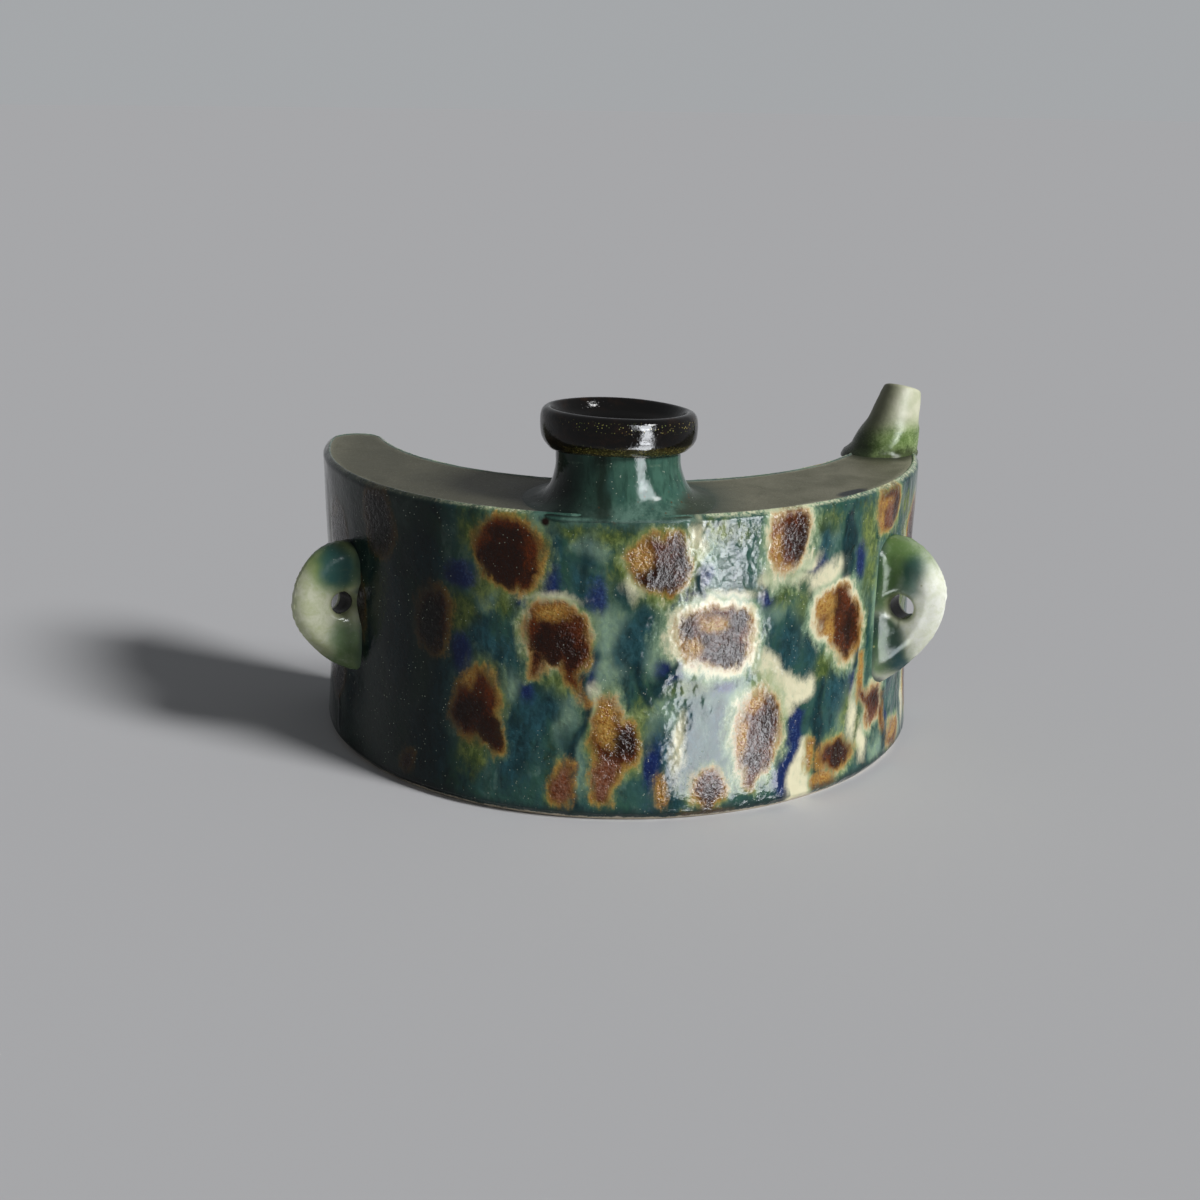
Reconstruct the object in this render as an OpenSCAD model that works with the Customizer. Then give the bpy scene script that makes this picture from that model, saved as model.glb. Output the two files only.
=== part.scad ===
// Slab-built hip flask: a crescent body with a thrown neck, a small pouring spout and two carrying lugs.
// Millimetres, +Z up, convex front towards -Y, origin under the middle of the box that holds the flask.

/* [Body] */
// Width across the round front, at the waist
body_w = 199; // [180:1:230]
// Depth of the crescent in the middle, at the waist
mid_depth = 44.6; // [42:0.2:60]
// Width of each rounded tip, at the waist
tip_w = 18.6; // [18:0.2:26]
// Height of the body, up to the top slab's face
body_h = 94; // [70:1:130]
// How far the walls swing out at the foot
foot_flare = 1.8; // [0:0.1:3]
// How far the walls swing out at the top edge
top_flare = 0.6; // [0:0.1:2]
// Bevel round the foot
foot_bevel = 3; // [1:0.25:4]
// Rounding of the top edge
edge_round = 1.8; // [0.5:0.1:3]

/* [Clay slabs] */
// Thickness of the front and back walls
wall_t = 5; // [4:0.25:5.5]
// Thickness of the base slab
base_t = 6; // [5:0.25:9]
// Thickness of the top slab
top_t = 5; // [4:0.25:7]
// Width of the clay coil pressed into each inner seam
coil_w = 3; // [1.5:0.25:3]

/* [Neck and rim] */
// Bore of the throat
throat_d = 28; // [22:0.5:30]
// Wall of the neck at its narrowest
neck_wall = 4.1; // [3:0.1:5]
// How far the neck's foot spreads past the narrowest ring
neck_spread = 7.9; // [4:0.1:9]
// Height from the top slab to the rim
neck_h = 15; // [12:0.5:24]
// How far the rim's band stands out from the neck
rim_reach = 4.7; // [2.5:0.1:6]
// Height of the rim
rim_h = 11; // [9:0.5:14]
// Thickness of the lip
lip_t = 4.6; // [3:0.1:5]

/* [Spout] */
// Bore of the spout
spout_bore_d = 6; // [4:0.25:6.5]
// Outside diameter of the spout's end
spout_end_d = 11.7; // [11:0.1:14]
// Radius of the spout's swollen foot
spout_foot_r = 10.4; // [10:0.1:12]
// Height of the foot, where the stem leaves it
spout_foot_h = 9; // [7:0.5:12]
// Length of the spout along its axis
spout_len = 22; // [18:0.5:30]
// Lean of the spout, outwards
spout_lean = 12; // [0:1:14]
// Distance of the spout's foot in front of the tip's middle
spout_forward = 3.5; // [3.4:0.1:4]
// Distance of the spout's foot inwards from the tip's middle
spout_inward = 1.2; // [0:0.1:1.5]

/* [Lugs] */
// Height of each lug where it meets the wall
lug_h = 45; // [30:1:50]
// How far each lug stands out from the wall
lug_reach = 19.5; // [15:0.5:22]
// Thickness of each lug
lug_t = 12; // [10:0.5:15]
// Rounding of the lug's outer edge
lug_round = 4; // [1:0.25:4.5]
// Cord hole through each lug
lug_hole_d = 7.8; // [5:0.2:9]
// Distance from the wall to the middle of the cord hole
lug_hole_out = 6.6; // [6:0.2:8]
// Height of the cord hole above the lug's middle
lug_hole_up = 3; // [-4:0.5:4]
// Height of the lugs' middle above the ground
lug_z = 52; // [40:1:70]
// Place of each lug, turned from the middle of the front
lug_angle = 59; // [45:1:70]

/* [Hidden] */
$fn = 96;

// The crescent is drawn by four circles at the waist: the front, the hollow behind and the two tips.
front_r = body_w / 2;
tip_r = tip_w / 2;
tip_x = front_r - tip_r;
// The box of the flask reaches as far behind the tips as before the front, so its middle is Y = 0.
wall_cy = (front_r - tip_r) / 2;
front_y = wall_cy - front_r;
// The hollow's circle passes the middle of the back and touches both tip circles.
hollow_rise = front_r - mid_depth;
hollow_r = (hollow_rise * hollow_rise + tip_x * tip_x - tip_r * tip_r) / (2 * (tip_r + hollow_rise));
hollow_cy = front_y + mid_depth + hollow_r;
middle_y = front_y + mid_depth / 2;

// Past every piece, for cutters
far = 2 * body_w;
// Cutters run this far past the faces that they open
over = 1;
// The tips of the slabs stand this little proud, so that they cross the long sides instead of grazing them.
tip_lap = 0.05;
// The seam coils stop this many degrees short of the narrow tips.
coil_stop = 7;

// Heights at which the wall's swing changes
waist_z = 0.55 * body_h;
swing_z = 0.2 * body_h;
// Steps in a rounded edge, in degrees
round_step = 22.5;

function top_round(radius) = [
  for (a = [0 : round_step : 90])
    [radius * (1 - cos(a)) - top_flare, body_h - radius * (1 - sin(a))]
];

// Outside of the body as [inset from the waist's outline, height]
body_edge = concat(
  [
    [foot_bevel / 2 - foot_flare, 0],
    [-foot_flare, foot_bevel],
    [-foot_flare / 3, swing_z],
    [0, waist_z],
    [-top_flare / 3, body_h - swing_z]
  ],
  top_round(edge_round)
);
wall_low_z = base_t;
wall_high_z = body_h - top_t;
function edge_inset(z) = lookup(z, [for (p = body_edge) [p[1], p[0]]]);
function edge_between(low, high) = concat(
  [[edge_inset(low), low]],
  [for (p = body_edge) if (p[1] > low && p[1] < high) p],
  [[edge_inset(high), high]]
);

// Turns of the walls: half a turn at the front, and as far as the tips' middles at the back and round the tips
tip_dip = atan2(hollow_cy - wall_cy, tip_x);
front_turn = 180;
back_turn = 180 - 2 * tip_dip;
tip_turn = 180 - tip_dip;

throat_r = throat_d / 2;
neck_r = throat_r + neck_wall;
rim_z = body_h + neck_h;
rim_top_z = rim_z + rim_h;
rim_r = neck_r + rim_reach;

spout_x = tip_x - spout_inward;
spout_y = wall_cy - spout_forward;
spout_bore_r = spout_bore_d / 2;
spout_end_r = spout_end_d / 2;

// Radius of the lug's disc, from its reach and its height at the wall
lug_disc_r = (lug_h * lug_h / 4 + lug_reach * lug_reach) / (2 * lug_reach);
lug_disc_out = lug_reach - lug_disc_r;

clay_bare = [0.74, 0.66, 0.53];
glaze_front = [0.16, 0.38, 0.36];
glaze_back = [0.20, 0.40, 0.34];
glaze_top = [0.42, 0.41, 0.35];
glaze_neck = [0.22, 0.42, 0.38];
glaze_rim = [0.10, 0.07, 0.05];
glaze_spout = [0.70, 0.74, 0.56];
glaze_lug = [0.66, 0.71, 0.52];

// Section between the edge and a straight inner line, both measured in from a circle of base_radius
module edge_section(base_radius, side, edge, inner) {
  last = len(edge) - 1;
  polygon(concat(
    [[base_radius + side * inner, edge[0][1]]],
    [for (p = edge) [base_radius + side * p[0], p[1]]],
    [[base_radius + side * inner, edge[last][1]]]
  ));
}

// Stretch of the front round its circle, ending short of the tips' middles by an angle
module front_sector(edge, inner, short = 0) {
  translate([0, wall_cy, 0])
    rotate([0, 0, short - front_turn])
      rotate_extrude(angle = front_turn - 2 * short)
        edge_section(front_r, -1, edge, inner);
}

module back_sector(edge, inner, short = 0) {
  translate([0, hollow_cy, 0])
    rotate([0, 0, tip_dip - 180 + short])
      rotate_extrude(angle = back_turn - 2 * short)
        edge_section(hollow_r, 1, edge, inner);
}

module tip_sectors(edge, inner) {
  for (side = [0, 1])
    mirror([side, 0, 0])
      translate([tip_x, wall_cy, 0])
        rotate_extrude(angle = tip_turn)
          edge_section(tip_r, -1, edge, inner);
}

// Everything inside the front's circle and outside the hollow's
module lune(edge) {
  difference() {
    translate([0, wall_cy, 0])
      rotate_extrude()
        edge_section(front_r, -1, edge, front_r);
    translate([0, hollow_cy, 0])
      rotate_extrude()
        edge_section(hollow_r, 1, edge, -hollow_r);
  }
}

// Plan of what lies before the lines from the hollow's middle through the tips' middles
module between_tips() {
  polygon([
    [-far, -far], [far, -far], [far, wall_cy], [tip_x, wall_cy],
    [0, hollow_cy], [-tip_x, wall_cy], [-far, wall_cy]
  ]);
}

// Solid crescent whose sides follow the edge, a list of [inset, height]
module crescent(edge) {
  intersection() {
    lune(edge);
    linear_extrude(body_h)
      between_tips();
  }
  for (side = [-1, 1])
    translate([side * tip_x, wall_cy, 0])
      rotate_extrude()
        edge_section(tip_r + tip_lap, -1, edge, tip_r + tip_lap);
}

module throat() {
  translate([0, middle_y, wall_high_z - over])
    cylinder(h = top_t + neck_h + 2 * over, r = throat_r);
}

// The spout leans about the middle of its foot's seat on the top slab.
module spout_frame() {
  translate([spout_x, spout_y, body_h])
    rotate([0, spout_lean, 0])
      children();
}

module spout_bore() {
  spout_frame()
    translate([0, 0, -2 * top_t])
      cylinder(h = spout_len + 2 * top_t + over, r = spout_bore_r);
}

module front_wall() {
  edge = edge_between(wall_low_z, wall_high_z);
  color(glaze_front) {
    front_sector(edge, wall_t);
    tip_sectors(edge, wall_t);
  }
}

module back_wall() {
  color(glaze_back)
    back_sector(edge_between(wall_low_z, wall_high_z), wall_t);
}

module base_slab() {
  color(clay_bare)
    crescent(edge_between(0, wall_low_z));
}

module top_slab() {
  color(glaze_top)
    difference() {
      crescent(edge_between(wall_high_z, body_h));
      throat();
      spout_bore();
    }
}

// Coil smoothed flat across the cavity's corner at height z, growing up (1) or down (-1). It is laid in two
// lengths, one along the front wall and one along the back wall.
module seam_coil(z, grow) {
  face = [[wall_t + coil_w, z], [wall_t, z + grow * coil_w]];
  front_sector(face, wall_t, coil_stop);
  back_sector(face, wall_t, coil_stop);
}

module lower_seam_coil() {
  color(clay_bare)
    seam_coil(wall_low_z, 1);
}

module upper_seam_coil() {
  color(clay_bare)
    seam_coil(wall_high_z, -1);
}

// The neck's spreading foot is trimmed to the walls, and laps the slab's rounded edges front and back.
module neck() {
  foot_r = neck_r + neck_spread;
  lap_z = body_h - edge_round / 2;
  color(glaze_neck)
    difference() {
      translate([0, middle_y, 0])
        rotate_extrude()
          polygon([
            [0, lap_z],
            [foot_r, lap_z],
            [foot_r, body_h],
            [neck_r + 0.66 * neck_spread, body_h + 0.06 * neck_h],
            [neck_r + 0.42 * neck_spread, body_h + 0.23 * neck_h],
            [neck_r + 0.18 * neck_spread, body_h + 0.44 * neck_h],
            [neck_r, body_h + 0.8 * neck_h],
            [neck_r, rim_z],
            [0, rim_z]
          ]);
      difference() {
        translate([0, middle_y, lap_z - over])
          cylinder(h = neck_h, r = foot_r + over);
        translate([0, wall_cy, lap_z - 2 * over])
          cylinder(h = neck_h + 2 * over, r = front_r + top_flare);
      }
      translate([0, hollow_cy, lap_z - over])
        cylinder(h = neck_h, r = hollow_r - top_flare);
      lune(edge_between(wall_high_z, body_h));
      throat();
    }
}

// The rim is a flat-sided band, round below, with a full round lip and a funnel inside.
module rim() {
  lip_r = lip_t / 2;
  belly_r = 3;
  color(glaze_rim)
    translate([0, middle_y, 0])
      rotate_extrude()
        difference() {
          union() {
            translate([rim_r - lip_r, rim_top_z - lip_r])
              circle(lip_r);
            translate([rim_r - belly_r, rim_z + belly_r])
              circle(belly_r);
            polygon([
              [throat_r, rim_z], [rim_r - belly_r, rim_z], [rim_r - belly_r, rim_z + belly_r],
              [rim_r, rim_z + belly_r], [rim_r, rim_top_z - lip_r],
              [rim_r - lip_t, rim_top_z - lip_r], [throat_r, rim_z + 1]
            ]);
          }
          square([throat_r, rim_top_z]);
        }
}

// A swollen foot, upright on the slab and undercut round its seat, carries the leaning stem.
module spout() {
  undercut = edge_round;
  stem_foot_r = spout_foot_r - 1.2;
  color(glaze_spout)
    difference() {
      union() {
        translate([spout_x, spout_y, body_h])
          rotate_extrude()
            polygon([
              [0, 0],
              [spout_foot_r - undercut, 0],
              [spout_foot_r, undercut],
              [spout_foot_r, 0.5 * spout_foot_h],
              [spout_foot_r - 0.9, 0.75 * spout_foot_h],
              [spout_foot_r - 3, spout_foot_h],
              [0, spout_foot_h]
            ]);
        spout_frame()
          rotate_extrude()
            polygon([
              [0, spout_foot_h / 2],
              [stem_foot_r, spout_foot_h / 2],
              [spout_end_r + 1.4, 0.62 * spout_len],
              [spout_end_r, spout_len - 1],
              [spout_end_r - 1, spout_len],
              [0, spout_len]
            ]);
      }
      spout_bore();
    }
}

// Lug on the side given as -1 or 1: an upright disc with round edges, cut by the wall behind it
module lug(side) {
  color(glaze_lug)
    difference() {
      translate([0, wall_cy, lug_z])
        rotate([0, 0, side * lug_angle])
          translate([0, -front_r, 0])
            difference() {
              translate([0, -lug_disc_out, 0])
                rotate([0, 90, 0])
                  rounded_disc(lug_disc_r, lug_t, lug_round);
              translate([-over - lug_t / 2, -lug_hole_out, lug_hole_up])
                rotate([0, 90, 0])
                  cylinder(h = lug_t + 2 * over, d = lug_hole_d);
            }
      translate([0, wall_cy, 0])
        rotate_extrude()
          edge_section(front_r, -1, body_edge, front_r);
    }
}

module rounded_disc(radius, thickness, rounding) {
  rotate_extrude()
    union() {
      for (end = [-1, 1])
        translate([radius - rounding, end * (thickness / 2 - rounding)])
          circle(rounding);
      translate([0, -thickness / 2])
        square([radius - rounding, thickness]);
      translate([0, rounding - thickness / 2])
        square([radius, thickness - 2 * rounding]);
    }
}

module left_lug() {
  lug(-1);
}

module right_lug() {
  lug(1);
}

front_wall();
back_wall();
base_slab();
top_slab();
lower_seam_coil();
upper_seam_coil();
neck();
rim();
spout();
left_lug();
right_lug();
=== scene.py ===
import math

import bpy
import numpy as np
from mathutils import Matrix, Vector
from mathutils.geometry import delaunay_2d_cdt


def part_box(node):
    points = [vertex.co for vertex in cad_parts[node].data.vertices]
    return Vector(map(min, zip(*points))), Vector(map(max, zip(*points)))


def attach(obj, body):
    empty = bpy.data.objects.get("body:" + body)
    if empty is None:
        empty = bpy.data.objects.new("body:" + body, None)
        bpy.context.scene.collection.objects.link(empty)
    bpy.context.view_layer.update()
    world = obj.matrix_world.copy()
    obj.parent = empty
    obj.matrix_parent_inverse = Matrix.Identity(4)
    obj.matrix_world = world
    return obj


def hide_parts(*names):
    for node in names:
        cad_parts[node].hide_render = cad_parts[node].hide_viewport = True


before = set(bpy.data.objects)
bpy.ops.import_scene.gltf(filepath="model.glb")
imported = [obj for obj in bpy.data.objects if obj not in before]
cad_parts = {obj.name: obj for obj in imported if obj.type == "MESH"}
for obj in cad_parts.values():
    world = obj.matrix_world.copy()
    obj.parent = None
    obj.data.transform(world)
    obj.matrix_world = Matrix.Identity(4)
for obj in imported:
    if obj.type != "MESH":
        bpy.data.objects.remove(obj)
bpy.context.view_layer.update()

# Lengths in this script are in millimetres, and MM turns them into Blender's metres.
MM = 0.001

# Driving sizes of the body, as in the part's source
BODY_W = 199.0
MID_DEPTH = 44.6
TIP_W = 18.6
WALL_T = 5.0
BASE_T = 6.0
EDGE_ROUND = 1.8
TOP_FLARE = 0.6
FOOT_FLARE = 1.8
FOOT_BEVEL = 3.0
THROAT_R = 14.0
NECK_R = 18.1
NECK_SPREAD = 7.9
SPOUT_BORE_R = 3.0
SPOUT_LEAN = math.radians(12)
SPOUT_FORWARD = 3.5
SPOUT_INWARD = 1.2
# Slope of the spout's end, down towards the back
SPOUT_TOP_DIP = 0.24
LUG_T = 12.0
LUG_ROUND = 4.0
LUG_ANGLE = math.radians(59)


def node_box(name):
    low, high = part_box(name)
    return np.array(low) / MM, np.array(high) / MM


BODY_H = node_box("top_slab")[1][2]
SLAB_LOW = node_box("top_slab")[0][2]
RIM_LOW, RIM_TOP = node_box("rim")[0][2], node_box("rim")[1][2]
RIM_R = (node_box("rim")[1][0] - node_box("rim")[0][0]) / 2
LUG_Z = (node_box("left_lug")[0][2] + node_box("left_lug")[1][2]) / 2

# The crescent's four circles, worked out as in the part's source
FRONT_R = BODY_W / 2
TIP_R = TIP_W / 2
TIP_X = FRONT_R - TIP_R
WALL_CY = (FRONT_R - TIP_R) / 2
FRONT_Y = WALL_CY - FRONT_R
HOLLOW_RISE = FRONT_R - MID_DEPTH
HOLLOW_R = (HOLLOW_RISE ** 2 + TIP_X ** 2 - TIP_R ** 2) / (2 * (TIP_R + HOLLOW_RISE))
HOLLOW_CY = FRONT_Y + MID_DEPTH + HOLLOW_R
TIP_DIP = math.atan2(HOLLOW_CY - WALL_CY, TIP_X)
NECK_Y = FRONT_Y + MID_DEPTH / 2

# Lengths round the waist: from the middle of the front to a tip, round the tip, and on to the middle of the back
FRONT_ARC = FRONT_R * math.pi / 2
TIP_ARC = TIP_R * (math.pi - TIP_DIP)
BACK_ARC = HOLLOW_R * (math.pi / 2 - TIP_DIP)
LOOP = 2 * (FRONT_ARC + TIP_ARC + BACK_ARC)
SEAM_ARC = FRONT_ARC + TIP_ARC


# Shape helpers

def smooth(value, low, high):
    """Rises from 0 at low to 1 at high."""
    t = np.clip((value - low) / (high - low), 0, 1)
    return t * t * (3 - 2 * t)


def noise(points, size, seed):
    """Smooth noise from -1 to 1 at the points, with features of about this size."""
    cells = 32
    lattice = np.random.RandomState(seed).uniform(-1, 1, (cells, cells, cells))
    place = points / size
    cell = np.floor(place).astype(int)
    part = place - cell
    part = part * part * (3 - 2 * part)
    total = np.zeros(points.shape[:-1])
    for corner in np.ndindex(2, 2, 2):
        weight = np.prod(np.where(corner, part, 1 - part), axis=-1)
        index = (cell + corner) % cells
        total += weight * lattice[index[..., 0], index[..., 1], index[..., 2]]
    return total


def layered_noise(points, size, seed, layers=3):
    return sum(noise(points, size / 2 ** k, seed + k) / 2 ** k for k in range(layers))


def outline(arc):
    """Points and outward normals at lengths along the waist from the middle of the front, + to the right."""
    arc = (np.asarray(arc, float) + LOOP / 2) % LOOP - LOOP / 2
    side = np.where(arc < 0, -1.0, 1.0)
    run = np.abs(arc)
    front = run / FRONT_R
    tip = (run - FRONT_ARC) / TIP_R
    back = (LOOP / 2 - run) / HOLLOW_R
    on_front = run <= FRONT_ARC
    on_tip = (run > FRONT_ARC) & (run <= SEAM_ARC)
    x = np.select([on_front, on_tip], [FRONT_R * np.sin(front), TIP_X + TIP_R * np.cos(tip)],
                  HOLLOW_R * np.sin(back))
    y = np.select([on_front, on_tip], [WALL_CY - FRONT_R * np.cos(front), WALL_CY + TIP_R * np.sin(tip)],
                  HOLLOW_CY - HOLLOW_R * np.cos(back))
    nx = np.select([on_front, on_tip], [np.sin(front), np.cos(tip)], -np.sin(back))
    ny = np.select([on_front, on_tip], [-np.cos(front), np.sin(tip)], np.cos(back))
    return np.stack([side * x, y], -1), np.stack([side * nx, ny], -1)


def inset_from_edge(x, y):
    """How far points of the crescent's plan lie inside the waist's outline."""
    front = FRONT_R - np.hypot(x, y - WALL_CY)
    back = np.hypot(x, y - HOLLOW_CY) - HOLLOW_R
    tip = TIP_R - np.hypot(np.abs(x) - TIP_X, y - WALL_CY)
    return np.where(y > WALL_CY, tip, np.minimum(front, back))


def wall_inset(z):
    """Inset of the wall's outside at heights between the foot's bevel and the rounded top edge."""
    low = BODY_H * 0.2
    high = BODY_H * 0.8
    knots = [FOOT_BEVEL, low, 0.55 * BODY_H, high, BODY_H - EDGE_ROUND]
    insets = [-FOOT_FLARE, -FOOT_FLARE / 3, 0, -TOP_FLARE / 3, -TOP_FLARE]
    reach = 6.0
    spread = [np.interp(z + step, knots, insets) for step in np.linspace(-reach, reach, 9)]
    return np.mean(spread, axis=0)


def grid_faces(rows, columns, close_rows=False, close_columns=False):
    """Quads between points stored row by row."""
    row = np.arange(rows if close_rows else rows - 1)
    column = np.arange(columns if close_columns else columns - 1)
    row, column = np.meshgrid(row, column, indexing="ij")
    row_up, next_column = (row + 1) % rows, (column + 1) % columns
    corners = [row * columns + column, row * columns + next_column,
               row_up * columns + next_column, row_up * columns + column]
    return np.stack(corners, -1).reshape(-1, 4).tolist()


def make_piece(name, node, points, faces, material, fields=None, crease=55):
    """Builds a closed mesh with its faces outward, and puts it in the frame in place of a node."""
    mesh = bpy.data.meshes.new(name)
    mesh.from_pydata((np.asarray(points).reshape(-1, 3) * MM).tolist(), [], faces)
    mesh.validate()
    mesh.calc_loop_triangles()
    corner = np.array([v.co for v in mesh.vertices])
    triangles = np.array([t.vertices for t in mesh.loop_triangles])
    a, b, c = corner[triangles[:, 0]], corner[triangles[:, 1]], corner[triangles[:, 2]]
    if np.einsum("ij,ij->i", a, np.cross(b, c)).sum() < 0:
        mesh.flip_normals()
    for field, values in (fields or {}).items():
        layer = mesh.attributes.new(field, "FLOAT", "POINT")
        layer.data.foreach_set("value", np.asarray(values, np.float32).ravel())
    mesh.shade_smooth()
    mesh.set_sharp_from_angle(angle=math.radians(crease))
    mesh.materials.append(material)
    piece = bpy.data.objects.new(name, mesh)
    bpy.context.scene.collection.objects.link(piece)
    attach(piece, "root")
    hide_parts(node)
    return piece


# Splashes of glaze, as [arc from the middle of the front, height, half width, half height, lean in degrees],
# and runs, as [arc, height, arc, height, half width at the start, half width at the end].
# A brown spot also has the width of its halo and the halo's share of cream.
BROWN_SPOTS = [
    [-32.5, 82.0, 11.0, 11.4, 0, 2.4, 0.15], [-29.8, 74.5, 6.0, 5.0, 0, 2.6, 0.3],
    [13.0, 80.0, 8.4, 9.6, 0, 3.0, 0.3], [7.5, 83.5, 4.6, 3.6, -25, 2.6, 0.3],
    [29.8, 57.2, 12.5, 10.2, -12, 4.0, 0.9],
    [-18.3, 58.5, 10.0, 9.8, 0, 2.4, 0.5], [-13.0, 53.0, 5.6, 6.5, 0, 1.2, 0.2],
    [-43.5, 33.0, 7.8, 12.4, -14, 2.4, 0.2],
    [0.8, 24.5, 7.6, 9.0, 0, 2.0, 0.25], [-2.0, 33.5, 4.6, 6.2, 0, 2.0, 0.6],
    [44.2, 25.5, 8.0, 12.8, -6, 3.2, 0.6],
    [28.4, 10.4, 5.6, 5.4, 0, 1.8, 0.3],
    [53.3, 84.5, 6.6, 10.4, -8, 3.0, 0.8],
    [99.8, 86.5, 7.8, 7.4, 0, 1.8, 0.4],
    [73.5, 59.0, 8.8, 8.2, 0, 3.8, 1.0], [78.5, 53.0, 7.8, 10.2, 0, 3.0, 0.6],
    [96.8, 22.5, 5.6, 6.0, -20, 2.2, 0.8],
    [75.8, 12.4, 8.0, 4.6, 0, 1.4, 0.4], [70.6, 5.2, 4.6, 3.0, 0, 1.4, 0.7],
    [112.6, 8.0, 6.2, 5.0, -30, 1.8, 0.6],
    [-59.0, 57.0, 7.4, 11.0, 0, 1.4, 0.0],
    [-82.0, 83.0, 8.0, 10.5, 0, 1.4, 0.0],
    [-69.0, 8.6, 3.4, 3.6, 0, 1.2, 0.1],
    [14.2, 9.2, 2.1, 3.7, 0, 0.8, 0.0],
    [-14.6, 11.6, 3.6, 6.8, 0, 1.0, 0.1],
]
BROWN_RUNS = [
    [-29.5, 73.0, -28.6, 69.6, 3.4, 0.8],
    [-13.8, 50.0, -9.6, 38.0, 3.6, 1.2],
    [-23.0, 50.0, -23.6, 44.0, 2.4, 0.9],
    [-40.0, 27.0, -35.5, 20.5, 5.0, 2.0],
    [-1.6, 20.0, -3.0, 8.0, 4.2, 3.0],
    [45.0, 18.0, 43.0, 11.0, 6.0, 2.6],
    [28.6, 7.0, 28.4, 1.2, 2.0, 1.2],
    [21.0, 1.0, 34.0, 1.0, 1.1, 1.1],
    [87.6, 42.0, 87.2, 28.0, 1.0, 1.6],
    [88.6, 27.0, 101.8, 20.0, 2.4, 1.8],
    [101.8, 20.0, 103.4, 13.5, 1.8, 1.0],
    [64.4, 16.4, 64.0, 11.6, 1.6, 1.2],
]
DARK_CORES = [
    [-34.0, 77.5, 8.6, 8.0], [-33.0, 87.0, 6.0, 3.6], [11.8, 75.4, 4.9, 4.7], [18.6, 82.0, 2.6, 6.4, 14],
    [-19.6, 55.0, 7.8, 5.2], [-19.4, 51.5, 4.4, 3.2], [-13.4, 52.0, 2.6, 5.0], [-45.2, 29.6, 5.8, 6.6],
    [-38.5, 25.0, 5.4, 6.4], [3.2, 25.4, 4.2, 4.4], [33.5, 51.2, 8.2, 4.2, -8], [36.6, 60.8, 3.8, 3.8],
    [20.6, 60.4, 2.6, 4.4], [26.0, 56.0, 3.0, 2.0], [47.6, 29.0, 3.6, 7.6], [44.0, 17.0, 5.0, 3.4],
    [56.6, 84.0, 3.6, 7.6], [79.8, 52.0, 3.4, 7.4, -14], [99.8, 92.4, 5.6, 1.4], [104.4, 85.6, 2.4, 6.0],
    [77.0, 12.8, 4.8, 3.8], [99.0, 24.0, 3.6, 2.4], [-59.4, 56.0, 5.6, 9.6], [-82.0, 83.0, 6.6, 9.0],
    [28.6, 9.4, 3.2, 3.6],
]
AMBER_PARTS = [
    [-18.0, 64.2, 5.4, 3.0], [8.2, 81.4, 3.6, 4.6], [6.0, 84.6, 3.4, 2.4], [-46.6, 42.0, 3.0, 3.6],
    [-2.4, 34.6, 3.8, 4.8], [-1.6, 28.4, 3.4, 5.4], [28.4, 61.4, 6.4, 3.6, -14], [22.6, 54.0, 3.4, 4.0],
    [41.6, 35.4, 4.0, 3.0], [38.4, 25.0, 2.4, 8.0], [51.4, 76.4, 3.0, 2.0], [48.6, 84.0, 2.4, 7.6],
    [68.4, 62.0, 4.2, 5.4], [70.4, 53.6, 3.0, 6.0], [97.4, 88.6, 5.4, 2.6], [95.0, 83.4, 2.4, 4.2],
    [87.6, 37.0, 2.2, 7.0], [70.6, 5.2, 4.6, 3.0], [64.2, 14.3, 2.2, 2.8], [112.6, 9.0, 4.8, 3.4],
    [14.2, 9.2, 1.9, 3.2], [27.0, 1.0, 8.0, 0.9],
]
PINK_PARTS = [
    [-2.6, 13.4, 3.6, 6.2], [-14.6, 11.6, 3.0, 5.4], [100.4, 84.2, 3.4, 4.4], [47.4, 88.0, 3.2, 3.2],
    [96.4, 16.6, 2.0, 3.6],
]
BLUE_PARTS = [
    [-48.3, 72.8, 6.0, 4.0], [-22.0, 73.8, 5.2, 4.2, 20], [-27.0, 68.8, 3.8, 3.2], [-48.6, 47.4, 3.8, 5.4],
    [-5.0, 69.0, 2.4, 5.0], [20.4, 71.2, 5.6, 3.6, 20], [18.0, 67.4, 4.0, 3.2], [24.6, 75.4, 3.2, 3.6],
    [16.8, 48.0, 4.8, 3.6, 32], [11.6, 14.8, 2.8, 9.6], [-6.2, 45.6, 1.4, 7.4],
    [64.0, 75.4, 5.4, 2.6], [83.4, 73.0, 2.9, 5.4], [84.0, 42.4, 2.2, 5.6], [82.4, 36.0, 1.6, 5.0],
    [106.4, 14.0, 3.0, 4.8], [-26.0, 38.8, 1.8, 3.0], [46.4, 68.0, 3.0, 2.4], [33.0, 41.0, 3.0, 2.2],
]
BLUE_RUNS = [
    [58.2, 27.4, 55.8, 15.0, 3.2, 4.4],
    [55.8, 15.0, 53.4, 4.0, 4.4, 2.6],
]
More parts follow.
